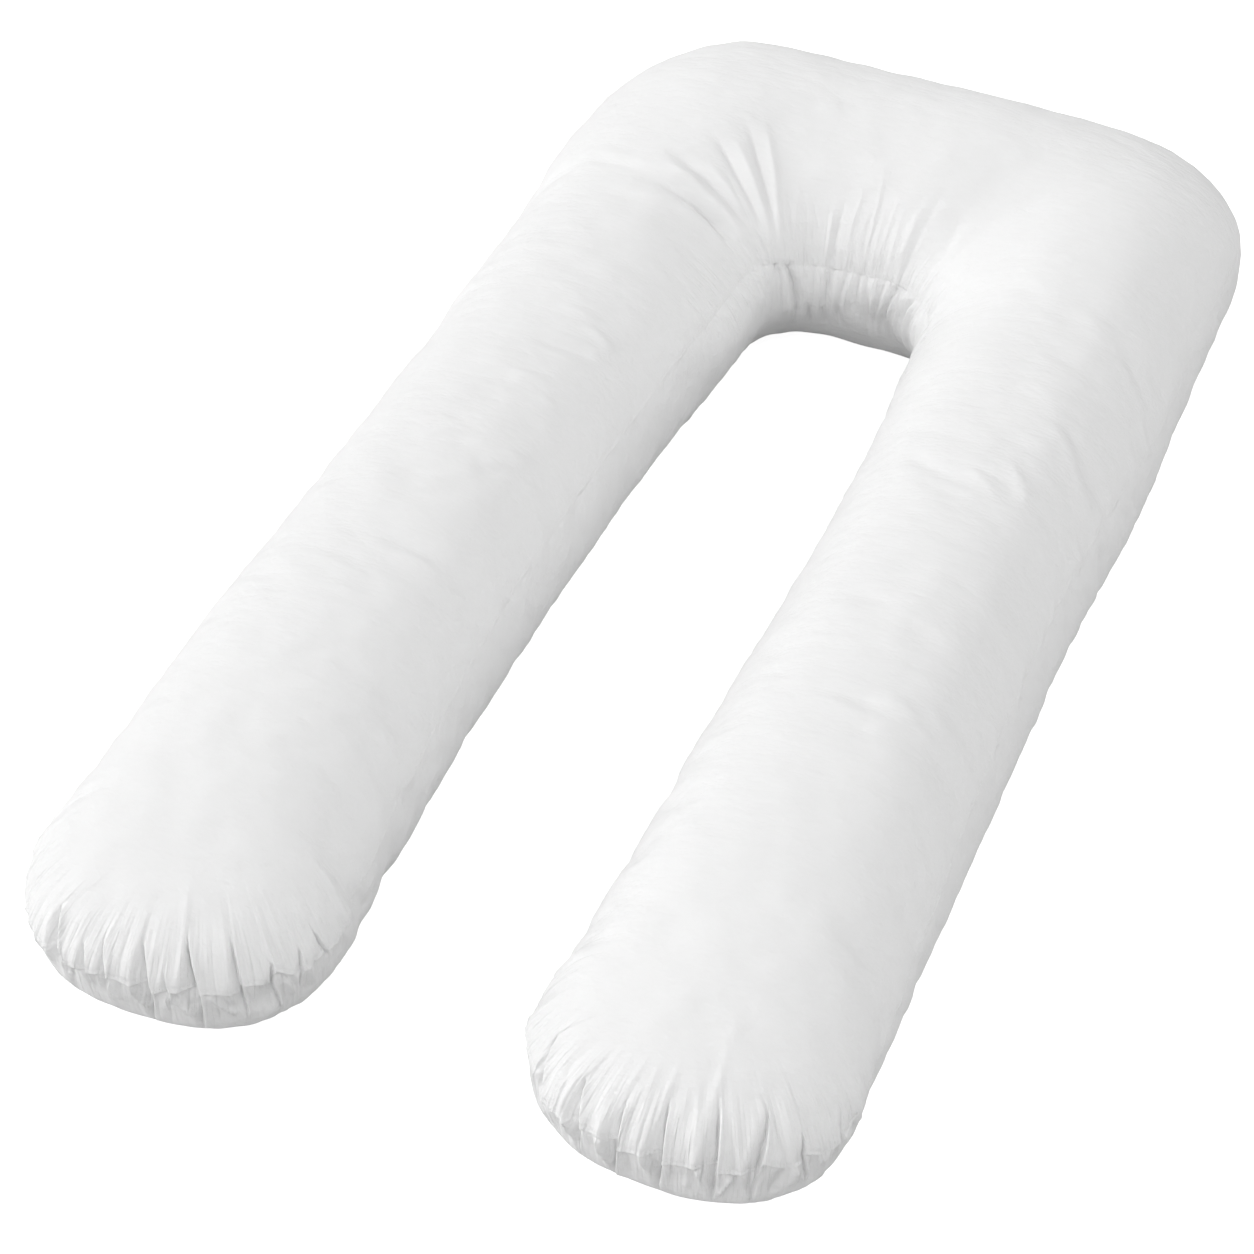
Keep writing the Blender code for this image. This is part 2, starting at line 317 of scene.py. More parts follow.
def sectionLine(column, angles):
    turn = np.radians(angles)
    power = np.where(angles >= 0.0, pillow["topPower"], pillow["bottomPower"])
    reach = np.maximum(np.cos(turn), 0.0) ** (2.0 / power)
    reach = np.where(np.abs(angles) >= 90.0, 0.0, reach)
    rise = np.sign(turn) * np.abs(np.sin(turn)) ** (2.0 / power)
    plan = column["middle"] + (column["edge"] - column["middle"]) * reach[:, None]
    thickness = column["height"](plan[:, 1])
    widest = pillow["widestShare"] * thickness
    above = widest + (thickness - widest) * rise
    below = restOnFloor(widest * (1.0 + pillow["settling"] * rise))
    return np.column_stack([plan, np.where(rise >= 0.0, above, below)])


def rowOffsets(near, total, count):
    rest = np.linspace(near[-1], total, count - len(near) + 2)[1:]
    return np.concatenate([near, rest])


def allColumns(darts):
    left = sideColumns(-1, [row for row in darts if row["tip"] == "leftTip"])
    right = sideColumns(1, [row for row in darts if row["tip"] == "rightTip"])[::-1]
    return left + barColumns(left[-1], right[0]) + right + barColumns(right[-1], left[0])


def seamLength(columns):
    # length along the ring of edges up to each column, and that at the marked ones
    length = runLength(np.array([column["edge"] for column in columns]))
    marks = {}
    for k, column in enumerate(columns):
        if column["mark"] and column["mark"] not in marks:
            marks[column["mark"]] = length[k]
    return length, marks


def plainSurface(columns, length):
    # the smooth pillow as lines of evenly spaced points, each with the arc from the seam at its two ends
    angles = np.linspace(-90.0, 90.0, netting["arcSamples"])
    lines, ends = [], []
    for column in columns:
        line = sectionLine(column, angles)
        arcs = runLength(line)
        even = np.linspace(0.0, arcs[-1], netting["arcSamples"])
        lines.append(np.column_stack([np.interp(even, arcs, line[:, axis]) for axis in range(3)]))
        seamArc = np.interp(column["seam"], angles, arcs)
        ends.append((-seamArc, arcs[-1] - seamArc))
    lines = np.array(lines) - np.array([*pillow["planMiddle"], 0.0])
    return {"length": length, "lines": lines, "ends": np.array(ends)}


def surfacePoint(surface, along, arc):
    # the smooth pillow's points at lengths along the seam and arcs above it
    right = np.clip(np.searchsorted(surface["length"], along), 1, len(surface["length"]) - 1)
    share = (along - surface["length"][right - 1]) / (surface["length"][right] - surface["length"][right - 1])
    found = []
    for column in (right - 1, right):
        bottom, top = surface["ends"][column, 0], surface["ends"][column, 1]
        place = np.clip((arc - bottom) / (top - bottom), 0.0, 1.0) * (netting["arcSamples"] - 1)
        row = np.minimum(place.astype(int), netting["arcSamples"] - 2)
        lines = surface["lines"]
        found.append(blend(lines[column, row], lines[column, row + 1], (place - row)[..., None]))
    return blend(found[0], found[1], share[..., None])


def makeSkin(columns, length, marks, lifts):
    # the pillow's fine net: points, faces and where each point lies from the seam
    surface = plainSurface(columns, length)
    arcs = []
    for (bottom, top), lift in zip(surface["ends"], lifts):
        up = rowOffsets(netting["topOffsets"], top - lift, netting["topRows"])
        down = rowOffsets(netting["bottomOffsets"], lift - bottom, netting["bottomRows"])
        arcs.append(np.concatenate([up[::-1], -down[1:]]))
    arcs = np.array(arcs)
    even = arcs + lifts[:, None]
    along = length[:, None] + leanOver(length, marks, even)
    grid = surfacePoint(surface, along, even)
    columnCount, rowCount = arcs.shape
    keys = np.round(grid.reshape(-1, 3) * netting["mergeScale"]).astype(np.int64)
    _, first, index = np.unique(keys, axis=0, return_index=True, return_inverse=True)
    index = index.reshape(columnCount, rowCount)
    return {
        "points": grid.reshape(-1, 3)[first],
        "quads": netQuads(index),
        "arc": arcs.reshape(-1)[first],
        "evenArc": even.reshape(-1)[first],  # from the seam's even line
        "along": along.reshape(-1)[first],
        "column": np.repeat(length, rowCount)[first],
        "surface": surface,
        "panelMap": panelMap(columns, arcs),
        "seamMap": np.stack([along, arcs], axis=-1),
        "stitchRow": index[:, netting["topRows"] - netting["topOffsets"].index(stitchArc)],
    }


def netQuads(values):
    # the four corners of each face of the net, from any value given for its points
    following = np.roll(values, -1, axis=0)
    corners = [values[:, :-1], values[:, 1:], following[:, 1:], following[:, :-1]]
    return np.stack(corners, axis=2).reshape(-1, 4, *values.shape[2:])


def panelMap(columns, arcs):
    # each panel laid flat, in metres, the bottom one beside the top one
    edges = np.array([column["edge"] for column in columns])
    middles = np.array([column["middle"] for column in columns])
    out = (edges - middles) / np.linalg.norm(edges - middles, axis=1)[:, None]
    fromTop = middles[:, None] + out[:, None] * (arcs[:, :1] - arcs)[:, :, None]
    fromBottom = middles[:, None] + out[:, None] * (arcs - arcs[:, -1:])[:, :, None]
    fromBottom[:, :, 0] += netting["panelShift"]
    return np.where((arcs >= 0.0)[:, :, None], fromTop, fromBottom)


def leanOver(length, marks, even):
    # how far the net leans along the seam at each arc, so that its columns follow the pleats
    lean = np.zeros(even.shape)
    for tip in ("leftTip", "rightTip"):
        rows = [row for row in dartRows if row["tip"] == tip]
        places = [-pleat["reach"]] + [row["at"] for row in rows] + [pleat["reach"]]
        chosen = np.flatnonzero(np.abs(length - marks[tip]) < pleat["reach"])
        offset = length[chosen] - marks[tip]
        for j in range(even.shape[1]):
            arc = even[chosen, j]
            drifts = np.zeros((len(places), len(chosen)))
            for k, row in enumerate(rows):
                above = arc >= 0.0
                drift = np.where(above, row["top"][0], row["bottom"][0])
                way = arc / np.where(above, row["top"][1], row["bottom"][1])
                drifts[k + 1] = drift * np.minimum(way, 1.0) * (1.0 - ease((way - 1.0) / pleat["release"]))
            right = np.clip(np.searchsorted(places, offset), 1, len(places) - 1)
            share = (offset - np.take(places, right - 1)) / np.take(np.diff(places), right - 1)
            column = np.arange(len(chosen))
            lean[chosen, j] = blend(drifts[right - 1, column], drifts[right, column], share)
    return lean


def skinNormals(skin):
    points, quads = skin["points"], skin["quads"]
    cross = np.cross(points[quads[:, 2]] - points[quads[:, 0]], points[quads[:, 3]] - points[quads[:, 1]])
    normals = np.zeros_like(points)
    for corner in range(4):
        for axis in range(3):
            normals[:, axis] += np.bincount(quads[:, corner], cross[:, axis], len(points))
    return normals / np.maximum(np.linalg.norm(normals, axis=1), tiny)[:, None]


def pushOut(skin, amount):
    # along the smooth pillow's normals, and never below the floor
    settled = ease(skin["points"][:, 2] / pillow["floorEase"])
    skin["points"] += skin["outward"] * (amount * settled)[:, None]
    skin["points"][:, 2] = np.maximum(skin["points"][:, 2], 0.0)


# Pleats round the two tips, read off the photograph and laid onto the pillow through the camera above. At
# is the crease's place along the seam, counted to the right from the tip's middle. Top and bottom are how
# far it has moved along the seam and up the panel where it closes.

dartColumns = "at", "top", "bottom", "width", "depth", "tip"
leftDarts = (
    (-0.0630, (-0.0187, 0.0365), (0.0061, -0.015), 0.015, 0.0060),
    (-0.0343, (-0.0076, 0.0200), (0.0029, -0.016), 0.010, 0.0042),
    (-0.0142, (-0.0109, 0.0310), (0.0011, -0.026), 0.012, 0.0052),
    (0.0277, (-0.0133, 0.0375), (-0.0034, -0.036), 0.0175, 0.0098),
    (0.0425, (-0.0042, 0.0170), (0.0015, -0.014), 0.008, 0.0030),
    (0.0688, (-0.0112, 0.0450), (-0.0002, -0.034), 0.0175, 0.0105),
    (0.1042, (-0.0041, 0.0440), (0.0030, -0.024), 0.011, 0.0046),
    (0.1310, (0.0020, 0.0160), (0.0060, -0.026), 0.011, 0.0045),
    (0.1600, (0.0030, 0.0160), (-0.0030, -0.020), 0.009, 0.0030),
    (0.1880, (-0.0060, 0.0200), (0.0050, -0.014), 0.010, 0.0022),
)
rightDarts = (
    (-0.1016, (-0.0240, 0.0400), (0.0030, -0.016), 0.012, 0.0055),
    (-0.0555, (-0.0140, 0.0355), (-0.0019, -0.029), 0.0175, 0.0098),
    (-0.0205, (-0.0047, 0.0310), (-0.0060, -0.042), 0.014, 0.0078),
    (0.0167, (-0.0032, 0.0400), (-0.0037, -0.035), 0.0165, 0.0100),
    (0.0599, (0.0018, 0.0480), (-0.0014, -0.031), 0.0170, 0.0085),
    (0.0935, (0.0152, 0.0450), (-0.0034, -0.030), 0.013, 0.0055),
    (0.1325, (0.0020, 0.0160), (0.0040, -0.024), 0.011, 0.0042),
    (0.1785, (0.0020, 0.0160), (-0.0040, -0.016), 0.010, 0.0016),
)
dartRows = [dict(zip(dartColumns, (*row, "leftTip"))) for row in leftDarts]
dartRows += [dict(zip(dartColumns, (*row, "rightTip"))) for row in rightDarts]

# Height of the sewn seam above its even line, found in the same way. It jumps where a pleat is folded over.
seamHeights = {
    "leftTip": (
        (-0.160, 0.0), (-0.0856, -0.0075), (-0.0640, 0.0059), (-0.0594, 0.0050), (-0.0568, -0.0080),
        (-0.0414, -0.0043), (-0.0292, -0.0027), (-0.0130, -0.0005), (0.0070, -0.0015), (0.0243, 0.0034),
        (0.0267, -0.0020), (0.0395, 0.0008), (0.0524, 0.0030), (0.0660, 0.0055), (0.0684, 0.0038),
        (0.0806, 0.0017), (0.1020, -0.0012), (0.1046, 0.0060), (0.1158, 0.0040), (0.1296, -0.0022),
        (0.1324, 0.0100), (0.1462, 0.0003), (0.1607, -0.0025), (0.1794, -0.0070), (0.2027, -0.0120),
        (0.2400, -0.0080), (0.3200, 0.0),
    ),
    "barMiddle": (
        (-0.300, 0.0), (-0.119, 0.0060), (-0.070, 0.0038), (0.010, 0.0042), (0.060, 0.0080),
        (0.110, 0.0080), (0.220, 0.0),
    ),
    "rightTip": (
        (-0.200, 0.0), (-0.1170, 0.0039), (-0.1034, 0.0110), (-0.1006, -0.0070), (-0.0728, -0.0070),
        (-0.0592, 0.0010), (-0.0547, -0.0002), (-0.0218, -0.0001), (-0.0192, -0.0032), (0.0147, -0.0004),
        (0.0173, -0.0030), (0.0525, -0.0008), (0.0814, -0.0037), (0.0926, -0.0045), (0.0954, 0.0050),
        (0.1168, -0.0057), (0.1309, -0.0064), (0.1337, 0.0030), (0.1507, -0.0080), (0.1792, -0.0130),
        (0.2500, -0.0080), (0.3400, 0.0),
    ),
}


def seamLifts(length, marks):
    places = [marks[mark] + along for mark, rows in seamHeights.items() for along, height in rows]
    return np.interp(length, places, [height for rows in seamHeights.values() for along, height in rows])


pleat = {
    "reach": 0.24,  # from the tip's middle, past the last pleat
    "release": 1.8,  # past its closed end the net swings back over this share of the pleat's length
    "under": 1.3,  # how much farther than its row says a pleat runs under the seam
    "start": 0.12,  # share of its length over which it opens
    "narrow": (0.06, 0.85),  # its width at the closed end as a share, and the power by which it widens
    "shallow": 0.25,  # its depth at the closed end, as a share
    "fullDepth": 0.008,  # one less deep has a smaller rim and groove
    "deeper": 1.2,
    "riser": 0.0011,
    "rim": (0.0024, 0.0021, 0.0013, 0.0040),  # right of the crease: height, place, width on either side
    "ridge": (0.14, 0.0010, 0.0030),  # height as a share of the pleat's depth, place and width
    "groove": (0.0035, -0.0007, 0.0009),  # the crease itself: depth, place and width
    "grooveBelow": 0.5,  # as a share, under the seam
    "tuck": 0.0007,  # how far the crease lies under the rim
}


def dartShape(skin, marks, row):
    # one pleat: a ridge, a slope down to the crease on its right, tucked in under the next panel's rim
    arc = skin["evenArc"]
    way = arc / np.where(arc >= 0.0, row["top"][1], pleat["under"] * row["bottom"][1])
    offset = skin["column"] - marks[row["tip"]] - row["at"]
    spread = np.clip(1.0 - way, 0.0, 1.0)
    started = ease(spread / pleat["start"])
    least, power = pleat["narrow"]
    width = row["width"] * blend(least, 1.0, spread ** power)
    size = min(1.0, row["depth"] / pleat["fullDepth"])
    depth = pleat["deeper"] * row["depth"] * started * blend(pleat["shallow"], 1.0, spread)
    slope = np.clip(1.0 + offset / width, 0.0, 1.0)
    rise = 1.0 - ease(offset / pleat["riser"])
    rimHeight, rimPlace, rimLeft, rimRight = pleat["rim"]
    fromRim = offset - rimPlace
    rim = rimHeight * size * started * hump(fromRim, np.where(fromRim < 0.0, rimLeft, rimRight))
    ridgeShare, ridgePlace, ridgeWidth = pleat["ridge"]
    ridge = ridgeShare * row["depth"] * started * hump(offset + width + ridgePlace, ridgeWidth)
    grooveDepth, groovePlace, grooveWidth = pleat["groove"]
    groove = grooveDepth * size * started * hump(offset - groovePlace, grooveWidth)
    groove *= np.where(arc < 0.0, pleat["grooveBelow"], 1.0)
    height = rim + ridge - groove - depth * np.where(offset < 0.0, slope, rise)
    tuck = pleat["tuck"] * size * started * np.clip(1.0 - np.abs(offset) / pleat["riser"], 0.0, 1.0)
    return height, tuck


def pushAlong(skin, amount):
    # to the right along the seam
    step = 0.001
    moved = np.flatnonzero(amount > 0.0)
    along, arc = skin["along"][moved], skin["evenArc"][moved]
    way = surfacePoint(skin["surface"], along + step, arc) - surfacePoint(skin["surface"], along - step, arc)
    skin["points"][moved] += way / (2.0 * step) * amount[moved, None]


# Fine gathers between the folds that have a row of their own. Side is 1 above the seam and -1 below it.
# Length, width and height are the least and the most, every is how far apart they are.

gatherColumns = "mark", "from", "to", "side", "every", "length", "width", "height", "lean"
gatherRows = (
    ("leftTip", -0.23, 0.25, 1, 0.0056, (0.022, 0.095), (0.0014, 0.0030), (0.0008, 0.0028), 0.10),
    ("leftTip", -0.23, 0.25, -1, 0.0065, (0.018, 0.050), (0.0018, 0.0036), (0.0012, 0.0040), 0.40),
    ("rightTip", -0.25, 0.25, 1, 0.0056, (0.022, 0.100), (0.0014, 0.0030), (0.0008, 0.0028), 0.12),
    ("rightTip", -0.25, 0.25, -1, 0.0065, (0.018, 0.050), (0.0018, 0.0036), (0.0012, 0.0040), 0.40),
    ("barMiddle", -0.13, 0.15, 1, 0.0052, (0.020, 0.095), (0.0014, 0.0028), (0.0004, 0.0012), 0.08),
    ("barMiddle", -0.12, 0.14, -1, 0.0085, (0.030, 0.110), (0.0016, 0.0034), (0.0012, 0.0034), 0.12),
    ("rightTip", 0.25, 1.20, 1, 0.0130, (0.014, 0.050), (0.0020, 0.0038), (0.0003, 0.0009), 0.70),
    ("rightTip", 0.25, 1.20, -1, 0.0110, (0.016, 0.050), (0.0020, 0.0038), (0.0003, 0.0011), 0.70),
    ("leftTip", 0.25, 1.15, 1, 0.0140, (0.010, 0.036), (0.0020, 0.0038), (0.0002, 0.0006), 0.70),
    ("leftTip", 0.25, 1.15, -1, 0.0110, (0.016, 0.060), (0.0020, 0.0040), (0.0003, 0.0011), 0.70),
)
gatherRows = [dict(zip(gatherColumns, row)) for row in gatherRows]

gather = {
    "spacing": (0.4, 1.6),  # least and most, as shares of every
    "lengthPower": 1.6,  # most are short
    "heightPower": 1.5,  # and most are low
    "signs": (-1.0, -1.0, 1.0),  # two valleys to each ridge
    "fadePower": 1.2,
    "atSeam": 0.6,  # height at the seam itself, as a share
    "rise": 0.2,  # share of its length over which it gets its full height
    "straighten": 0.4,  # the lean lessens by this share towards its end
    "acrossPower": 1.5,
    "near": 0.012,  # how far to its sides it can reach
}


def gatherHeight(skin, marks, row, seed):
    dice = random.Random(seed)
    total = np.zeros(len(skin["points"]))
    reach = row["side"] * skin["arc"]
    band = np.flatnonzero((reach > 0.0) & (reach < row["length"][1]))
    offset = skin["along"][band] - marks[row["mark"]]
    place = row["from"]
    while place < row["to"]:
        place += row["every"] * dice.uniform(*gather["spacing"])
        length = blend(*row["length"], dice.random() ** gather["lengthPower"])
        width = blend(*row["width"], dice.random())
        height = blend(*row["height"], dice.random() ** gather["heightPower"]) * dice.choice(gather["signs"])
        lean = row["lean"] * dice.uniform(-1.0, 1.0)
        chosen = np.abs(offset - place) < gather["near"] + abs(lean) * length
        near = band[chosen]
        way = reach[near] / length
        across = offset[chosen] - place - lean * reach[near] * (1.0 - gather["straighten"] * way)
        fade = np.clip(1.0 - way, 0.0, 1.0) ** gather["fadePower"]
        fade *= blend(gather["atSeam"], 1.0, ease(way / gather["rise"]))
        total[near] += height * fade * hump(across, width, gather["acrossPower"])
    return total


# Folds that start at the seam. Their paths were read off the photograph and laid onto the pillow through
# the camera above. Each point is a place along the seam from the mark and an arc above the seam, in
# millimetres, the outer end first. Then come height and width: a valley's height is negative.

leftTipFolds = (
    (((-93, 58), (-83, 46), (-79, 35)), 1.0, 3.0),
    (((-134, 34), (-129, 20), (-114, 4)), 1.1, 3.6),
    (((-108, 40), (-104, 24), (-98, 4)), -1.0, 3.0),
    (((-90, 41), (-88, 32), (-82, 8)), 1.2, 3.6),
    (((-62, 60), (-50, 34), (-43, 6)), 0.7, 3.0),
    (((-25, 53), (-17, 28), (-14, 7)), 1.0, 2.3),
    (((-32, 79), (-27, 64), (-24, 51)), 0.7, 3.0),
    (((-9, 45), (-4, 38), (0, 30)), -0.5, 3.2),
    (((8, 70), (9, 45), (7, 5)), 1.3, 3.6),
    (((16, 66), (14, 50), (14, 36)), -0.6, 4.4),
    (((23, 69), (27, 47), (31, 24)), 0.7, 3.0),
    (((54, 103), (53, 78), (54, 52), (48, 5)), 1.4, 3.6),
    (((60, 84), (58, 62), (57, 44)), -0.7, 4.4),
    (((74, 78), (74, 50), (78, 14)), 0.7, 3.6),
    (((93, 84), (95, 59), (95, 35), (94, 6)), 1.7, 4.1),
    (((101, 92), (102, 66), (101, 44)), -0.7, 5.4),
    (((120, 72), (117, 46), (116, 12)), 0.7, 3.6),
    (((134, 72), (136, 46), (134, 22)), 1.2, 3.6),
    (((139, 67), (140, 40), (142, 8)), -1.8, 3.0),
    (((160, 60), (158, 38), (155, 8)), 0.7, 3.6),
    (((183, 56), (178, 36), (176, 4)), 1.1, 4.1),
    (((192, 50), (188, 32), (190, 4)), -1.0, 3.0),
)
rightTipFolds = (
    (((-107, 48), (-98, 26), (-91, 9)), 1.0, 3.0),
    (((-106, 77), (-105, 59), (-97, 37), (-87, 13)), 1.1, 3.6),
    (((-99, 66), (-92, 44), (-80, 14)), -0.7, 3.0),
    (((-84, 80), (-75, 58), (-69, 35)), 1.2, 3.6),
    (((-72, 70), (-66, 50), (-60, 34)), -0.6, 4.4),
    (((-79, 42), (-79, 26), (-78, -3)), 1.2, 3.0),
    (((-52, 60), (-46, 38), (-42, 8)), 0.7, 3.0),
    (((-29, 85), (-29, 62), (-33, 33), (-38, 5)), 1.4, 3.6),
    (((-23, 70), (-24, 50), (-25, 32)), -0.7, 4.4),
    (((-11, 77), (-11, 57), (-15, 39)), 1.0, 3.0),
    (((-4, 54), (-6, 36), (-8, 8)), 0.7, 3.0),
    (((17, 85), (10, 60), (2, 32), (-5, 8)), 1.4, 3.6),
    (((20, 72), (17, 54), (14, 42)), -0.7, 4.4),
    (((29, 70), (28, 48), (22, 29)), 1.2, 3.0),
    (((28, 83), (37, 60), (44, 37), (45, 20)), 1.2, 3.0),
    (((33, 64), (34, 48), (33, 30)), -0.5, 4.4),
    (((76, 109), (67, 84), (52, 49), (40, 22)), 1.7, 3.6),
    (((74, 88), (68, 68), (61, 48)), -0.7, 4.4),
    (((125, 138), (92, 117), (80, 102)), 0.7, 2.3),
    (((80, 60), (77, 40), (76, 10)), 0.7, 3.6),
    (((112, 77), (105, 53), (91, 28), (84, 10)), 1.3, 3.6),
    (((114, 66), (111, 29), (109, 10)), -1.4, 3.6),
    (((143, 46), (141, 18), (141, 4)), -1.7, 3.0),
    (((126, 60), (124, 36), (122, 8)), 1.1, 4.1),
    (((160, 50), (158, 30), (156, 4)), 0.7, 3.6),
)
barFolds = (
    (((-62, 100), (-68, 61), (-68, 30)), 0.9, 2.6),
    (((-53, 103), (-59, 68), (-63, 40), (-62, 8)), 1.4, 2.6),
    (((-50, 72), (-47, 58), (-44, 40)), -1.4, 2.4),
    (((-30, 76), (-34, 54), (-34, 36), (-35, 8)), 2.1, 2.6),
    (((-27, 76), (-29, 44), (-29, 12)), -1.7, 2.4),
    (((-22, 105), (-16, 77), (-17, 47), (-13, 12)), 1.5, 2.6),
    (((-8, 103), (-3, 74), (-4, 42), (-1, 12)), 1.2, 2.6),
    (((-10, 135), (-1, 101), (3, 63), (4, 30)), 1.2, 2.6),
    (((12, 84), (12, 52), (12, 14)), 0.9, 2.6),
    (((20, 107), (21, 71), (19, 38), (21, 8)), 1.4, 2.6),
    (((27, 89), (28, 52), (31, 14)), 1.2, 2.6),
    (((39, 120), (36, 79), (38, 40), (40, 6)), 1.7, 3.3),
    (((40, 125), (42, 91), (43, 58), (46, 24)), -1.7, 2.6),
    (((54, 109), (59, 82), (67, 60)), -1.4, 3.3),
    (((60, 118), (66, 84), (73, 54)), 1.1, 4.0),
)

# Short folds along the right leg's outer edge
legFolds = (
    (((833, 56), (827, 28), (824, 8)), 1.2, 2.6),
    (((836, 48), (828, 20), (827, 0)), 1.5, 2.6),
    (((854, 40), (841, 14), (836, 0)), 1.5, 2.6),
    (((872, 46), (862, 22), (856, 0)), 1.2, 2.6),
    (((922, 46), (906, 20), (899, 0)), 1.4, 2.6),
    (((898, 42), (884, 16), (880, 0)), 1.4, 2.6),
    (((988, 34), (972, 15), (962, 0)), 1.2, 2.6),
    (((946, 36), (932, 14), (922, 0)), 1.2, 2.6),
    (((1046, 38), (1032, 20), (1023, 2)), 1.1, 2.6),
    (((1166, 34), (1159, 14), (1148, 0)), 1.1, 2.6),
    (((1127, 36), (1115, 19), (1099, 2)), 1.1, 2.6),
    (((797, 22), (775, 10), (752, 0)), 1.1, 2.6),
    (((765, 24), (744, 10), (722, 0)), 1.0, 2.6),
    (((700, 20), (676, 9), (654, 0)), 1.0, 2.6),
    (((620, 22), (598, 10), (575, 0)), 0.9, 2.6),
)
seamFolds = (
    ("leftTip", leftTipFolds),
    ("rightTip", rightTipFolds),
    ("barMiddle", barFolds),
    ("rightTip", legFolds),
)

# The same for the folds under the tips' seams, the lower end first
leftUnderFolds = (
    (((24, -31), (15, -17), (8, -3)), 4.4, 2.0),
    (((22, -26), (17, -14), (14, -3)), -2.5, 3.7),
    (((66, -27), (54, -17), (43, -4)), 4.4, 2.0),
    (((66, -20), (58, -12), (52, -3)), -2.5, 3.7),
    (((99, -31), (87, -16), (79, -2)), 4.4, 2.0),
    (((100, -25), (92, -14), (86, -3)), -3.0, 3.7),
    (((-2, -26), (-10, -14), (-20, -3)), 4.4, 2.0),
    (((118, -26), (112, -14), (109, -3)), -3.0, 4.0),
    (((132, -34), (127, -20), (124, -6)), -5.0, 5.1),
    (((150, -26), (146, -14), (142, -3)), 4.4, 2.0),
)
rightUnderFolds = (
    (((-58, -26), (-66, -14), (-72, -4)), 4.4, 2.0),
    (((-26, -36), (-34, -18), (-40, -4)), 4.4, 2.0),
    (((-26, -28), (-29, -15), (-31, -4)), -2.2, 3.7),
    (((14, -34), (6, -18), (0, -4)), 4.4, 2.0),
    (((13, -27), (10, -15), (8, -4)), -2.7, 3.7),
    (((36, -30), (38, -16), (38, -4)), 4.4, 2.0),
    (((58, -30), (50, -16), (45, -4)), 4.4, 2.0),
    (((62, -32), (68, -18), (74, -4)), 4.4, 2.0),
    (((84, -32), (86, -18), (88, -5)), -3.3, 4.0),
    (((108, -34), (111, -20), (114, -8)), -4.8, 5.1),
    (((124, -32), (124, -20), (124, -9)), 4.4, 2.0),
)
underFolds = ("leftTip", leftUnderFolds), ("rightTip", rightUnderFolds)

# The folds down the bar's inner face, counted in the same way
faceFolds = (
    (((-61, -78), (-62, -49), (-66, -19), (-71, 0)), -9.5, 3.6),
    (((-76, -78), (-81, -40), (-81, -10), (-85, 0)), -6.2, 4.0),
    (((-43, -82), (-47, -60), (-50, -42)), -6.2, 3.4),
    (((-28, -80), (-31, -60), (-34, -46)), -5.7, 3.6),
    (((-14, -78), (-17, -54), (-19, -38)), -5.7, 3.6),
    (((-30, -62), (-31, -30), (-30, -3)), -3.8, 2.4),
    (((-19, -56), (-16, -26), (-13, 0)), -3.8, 2.4),
    (((3, -60), (2, -28), (2, 0)), -3.5, 2.2),
    (((12, -66), (14, -46), (15, -12)), -4.3, 2.6),
    (((17, -58), (22, -34), (27, -3)), -4.3, 2.4),
    (((31, -64), (33, -40), (35, -22), (41, 0)), -5.4, 2.2),
    (((58, -60), (60, -29), (60, -9), (64, 4)), -6.8, 2.8),
    (((-59, -74), (-67, -56), (-72, -42)), 5.4, 2.2),
    (((-12, -50), (-9, -23), (-7, -2)), 4.9, 2.6),
    (((20, -56), (19, -29), (16, -2)), 4.3, 2.6),
    (((24, -62), (26, -40), (29, -22), (32, -6)), 5.9, 2.4),
    (((34, -58), (37, -35), (42, -8)), 5.9, 2.2),
    (((56, -66), (50, -50), (48, -38), (52, -2)), 6.8, 2.4),
    (((69, -74), (69, -49), (69, -29), (69, -2)), 5.9, 2.4),
    (((94, -50), (90, -21), (83, 4)), 4.9, 2.4),
    (((-21, -62), (-23, -20), (-24, -3)), 3.2, 3.0),
    (((-30, -68), (-33, -13), (-36, 0)), 3.2, 2.6),
)

# The long folds that gather in the left inner corner
cornerFolds = (
    (((-76, 172), (-78, 111), (-79, 63), (-81, 20)), -5.2, 5.0),
    (((-69, 166), (-71, 108), (-75, 61), (-79, 22)), 3.4, 5.0),
    (((-84, 150), (-84, 92), (-84, 46)), 2.0, 4.0),
    (((-90, 164), (-90, 92), (-88, 30)), -5.2, 5.0),
    (((-94, 110), (-95, 78), (-94, 51), (-90, 22)), -3.0, 3.4),
    (((-104, 172), (-102, 119), (-98, 60), (-88, 19)), -6.5, 6.0),
    (((-98, 124), (-97, 96), (-94, 56)), 2.4, 5.0),
    (((-116, 166), (-113, 104), (-111, 75), (-109, 45), (-106, 10)), -9.5, 6.5),
    (((-113, 108), (-112, 76), (-114, 50), (-117, 18)), -5.5, 5.5),
    (((-108, 146), (-107, 122), (-106, 98)), 4.6, 4.6),
    (((-108, 96), (-105, 62), (-103, 26)), 2.6, 5.0),
    (((-122, 150), (-120, 104), (-116, 60)), 2.6, 7.0),
)

